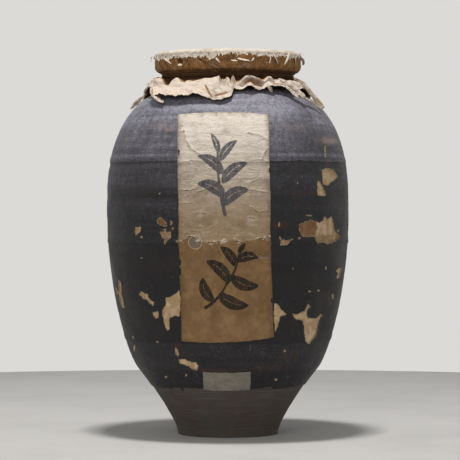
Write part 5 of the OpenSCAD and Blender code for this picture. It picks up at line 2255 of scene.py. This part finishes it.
@dataclass
class WornTop:
    """The worn pale sheet on top of the cover, with a ragged band down the side, in millimetres."""

    cover: CoverPaperSheet
    thick: float = 0.6
    columns: int = 512
    rows: int = 44
    corner: float = 5.6
    lift: float = 1.9
    fibres: int = 110

    def drop(self, degrees: np.ndarray) -> np.ndarray:
        """How far the ragged edge hangs below the top.

        Args:
            degrees: the turns from the front.

        Returns:
            One drop for each turn.
        """
        here = circle(np.radians(degrees))
        front = np.interp(degrees, *np.array(DROPS).T)
        back = 13 + 3.4 * cloud(here * 5, 62, 2)
        share = ramp(np.abs(degrees), 84, 98)
        wide = front * (1 - share) + back * share
        teeth = 1 - 2.2 * np.abs(cloud(here * 30, 63, 2))
        return np.clip(wide - 1.0 + 2.4 * teeth + 1.5 * cloud(here * 75, 64, 2), 6.2, 22)

    def shape(self, u: np.ndarray, v: np.ndarray) -> np.ndarray:
        """The sheet's middle surface.

        Args:
            u: shares of the way round it.
            v: shares of the way from its middle to its ragged edge.

        Returns:
            One row of x, y, z for each point.
        """
        degrees = 360 * (u - 0.5)
        angle = np.radians(degrees)
        parts = ((0, 0.45), (0.45, 0.2), (0.65, 0.35))
        on_flat, over, down = (np.clip((v - start) / part, 0, 1) for start, part in parts)
        turn = over * math.pi / 2
        radius = (self.cover.cap_radius - self.cover.edge) * on_flat**0.8 + self.corner * np.sin(turn)
        below = self.corner * (1 - np.cos(turn)) + down * np.clip(self.drop(degrees) - self.corner, 0, None)
        height = self.cover.top + self.lift - below
        here = turned(radius, angle, height)
        fold = np.clip(0.55 - np.abs(cloud(here / 26, 65, 3)), 0, 1)
        up = (1 - over) * (fold + 0.25 * cloud(here / 6, 66, 2)) * ramp(on_flat, 0, 0.1)
        tuft = 2.0 * bump(degrees, -1.2, 2.6) * bump(v, 0.5, 0.08)
        out = over * (0.6 * np.clip(cloud(here / 9, 67, 3), -0.4, 1) + 0.3 * cloud(here / 3, 68, 2) + 0.5)
        out = out + 1.3 * down**3 * (0.5 + cloud(here / 5, 69, 2))
        return turned(radius + out * np.sin(turn), angle, height + up + tuft + out * np.cos(turn) * 0.5)

    def wisps(self) -> Piece:
        """Spins the torn fibres that hang from the ragged edge.

        Returns:
            The fibres, all in one piece.
        """
        generator = np.random.default_rng(7)
        paths, sections = [], []
        t = np.linspace(0, 1, 7)
        turn = np.linspace(0, 2 * math.pi, 4, endpoint=False)
        for _ in range(self.fibres):
            degrees = generator.uniform(-180, 180)
            angle = math.radians(degrees)
            length = generator.uniform(2.5, 7)
            lean = generator.normal(0, 0.5)
            out = generator.uniform(0.0, 0.45)
            radius = self.cover.cap_radius + 3.4 + out * length * t + 0.6 * np.sin(3 * t)
            edge = self.cover.top + self.lift - self.drop(np.array([degrees]))[0]
            height = edge + 2.5 - length * t * (1 - 0.35 * out)
            bend = angle + (lean * length * t + generator.normal(0, 0.8) * t**2) / 136
            paths.append(turned(radius, bend, height))
            across, outward = turned(1, angle + math.pi / 2, 0), turned(1, angle, 0)
            width = generator.uniform(0.25, 0.8) * (1 - 0.85 * t)
            sections.append(np.cos(turn)[None, :, None] * width[:, None, None] * across
                            + np.sin(turn)[None, :, None] * 0.18 * outward)
        return Bench.strip("worn_top_wisps", paths, sections)

    def make(self) -> None:
        """Builds and dresses the sheet and its wisps."""
        piece = Bench.sheet("worn_top", self.columns, self.rows, self.shape, self.thick)
        Bench.smooth(piece, 60)
        material = TopSheetPaper().make()
        settle(piece, Body.CAP, Slot.TOP_SHEET, material, "top_sheet")
        made = [Bench.ribbon(line, 0.5, 0.2, 0.4, 60 + index) for index, line in enumerate(SLIVERS)]
        wisps = Bench.join("worn_top_wisps", [self.wisps(), *made])
        Bench.smooth(wisps, 60)
        settle(wisps, Body.CAP, Slot.TOP_SHEET, material)


@dataclass
class TieCord:
    """Two turns of twisted cord round the throat, in millimetres."""

    radius: float = 118.3
    height: float = 639.3
    thick: float = 3
    turns: int = 2
    twist: float = 9.5

    def make(self) -> None:
        """Builds and dresses the cord."""
        length = 2 * math.pi * self.radius * self.turns
        count = round(length / 1.25)
        t = np.linspace(0, 1, count)
        angle = 2 * math.pi * self.turns * t - math.pi
        height = self.height + self.thick * (self.turns / 2 - self.turns * t)
        out, up = turned(1, angle, 0), np.array([0, 0, 1.0])
        side = np.linspace(0, 2 * math.pi, 6, endpoint=False)
        half = (0.78 * np.clip(np.minimum(t, 1 - t) * length / 4, 0.25, 1))[:, None, None]
        section = half * (np.cos(side)[None, :, None] * out[:, None, :] + np.sin(side)[None, :, None] * up)
        paths = []
        for strand in range(2):
            phase = 2 * math.pi * length * t / self.twist + math.pi * strand
            offset = 0.7 * (np.cos(phase)[:, None] * out + np.sin(phase)[:, None] * up)
            paths.append(self.radius * out + height[:, None] * up + offset)
        piece = Bench.strip("cord_round_throat", paths, [section] * len(paths))
        Bench.merge(piece)
        Bench.smooth(piece, 70)
        settle(piece, Body.CAP, Slot.HEMP, Hemp().make(), "tie_cord")


# ---- Wood ----


@dataclass
class WoodenLids:
    """The cap and the tapered inner lid: solids that keep their shape and get their grain."""

    cedar: tuple = ("cap_board", "cap_ring", "inner_lid", "inner_lid_battens")
    pegs: tuple = ("cap_pegs", "inner_lid_pegs")

    def make(self) -> None:
        """Dresses the wood."""
        cedar = Wood().make()
        peg = Wood("split_peg_wood", tone(0.78, 0.64, 0.44), tone(0.60, 0.46, 0.29), 2.0, (1, 1, 14)).make()
        for node in self.cedar:
            dress(node, cedar)
        for node in self.pegs:
            dress(node, peg)


# ---- Studio ----


@dataclass
class Studio:
    """Camera, soft lamps and a plain pale floor, in metres."""

    eye: tuple = (0.0036, -4.23, 0.393)
    pitch: float = -0.366
    lens: float = 183.9
    floor: float = 1.74
    backdrop: tuple = tone(0.86, 0.855, 0.845)

    def camera(self) -> None:
        """Sets the camera up."""
        data = bpy.data.cameras.new("camera")
        data.lens, data.sensor_width = self.lens, 36
        data.clip_end = 100
        camera = bpy.data.objects.new("camera", data)
        camera.location = self.eye
        camera.rotation_euler = (math.radians(90 + self.pitch), 0, 0)
        bpy.context.scene.collection.objects.link(camera)
        bpy.context.scene.camera = camera

    def lamp(self, name: str, place: Sequence[float], size: float, power: float) -> None:
        """Adds a square soft lamp that looks at the jar.

        Args:
            name: the lamp's name.
            place: where it hangs.
            size: its width.
            power: its power in watts.
        """
        data = bpy.data.lights.new(name, "AREA")
        data.size, data.energy = size, power
        lamp = bpy.data.objects.new(name, data)
        lamp.location = place
        lamp.rotation_euler = (Vector((0, 0, 0.38)) - Vector(place)).to_track_quat("-Z", "Y").to_euler()
        bpy.context.scene.collection.objects.link(lamp)

    def make(self) -> None:
        """Builds the studio."""
        self.camera()
        self.lamp("overhead", (-0.05, -0.32, 2.75), 0.30, 52)
        self.lamp("front", (-0.7, -3.2, 1.7), 1.8, 21)
        bpy.ops.object.select_all(action="DESELECT")
        bpy.ops.mesh.primitive_circle_add(vertices=180, radius=self.floor, fill_type="NGON")
        floor = bpy.context.object
        floor.name = "floor"
        floor.data.materials.append(FloorPaint().make())
        world = bpy.data.worlds.new("studio")
        bpy.context.scene.world = world
        world.use_nodes = True
        tree = world.node_tree
        light, shown = tree.nodes["Background"], tree.nodes.new("ShaderNodeBackground")
        light.inputs[0].default_value, light.inputs[1].default_value = (1, 1, 1, 1), 0.27
        shown.inputs[0].default_value = self.backdrop
        path, mix = tree.nodes.new("ShaderNodeLightPath"), tree.nodes.new("ShaderNodeMixShader")
        seen = tree.nodes["World Output"]
        either = path.outputs["Is Camera Ray"]
        for other in ("Is Glossy Ray", "Is Transmission Ray"):
            add = tree.nodes.new("ShaderNodeMath")
            add.operation = "MAXIMUM"
            tree.links.new(either, add.inputs[0])
            tree.links.new(path.outputs[other], add.inputs[1])
            either = add.outputs[0]
        tree.links.new(either, mix.inputs[0])
        tree.links.new(light.outputs[0], mix.inputs[1])
        tree.links.new(shown.outputs[0], mix.inputs[2])
        tree.links.new(mix.outputs[0], seen.inputs["Surface"])
        bpy.context.scene.view_settings.view_transform = "Standard"


def main() -> None:
    """Builds the studio and every piece in order."""
    logging.basicConfig(level=logging.INFO, format="%(name)s: %(message)s", stream=sys.stdout)
    Studio().make()
    wall = Wall()
    ClayBody(wall).make()
    paper = PastedPaper(wall)
    paper.make()
    Labels(wall, paper).make()
    cover = CoverPaperSheet(wall)
    cover.make()
    WornTop(cover).make()
    TieCord().make()
    WoodenLids().make()


if __name__ == "__main__":
    main()
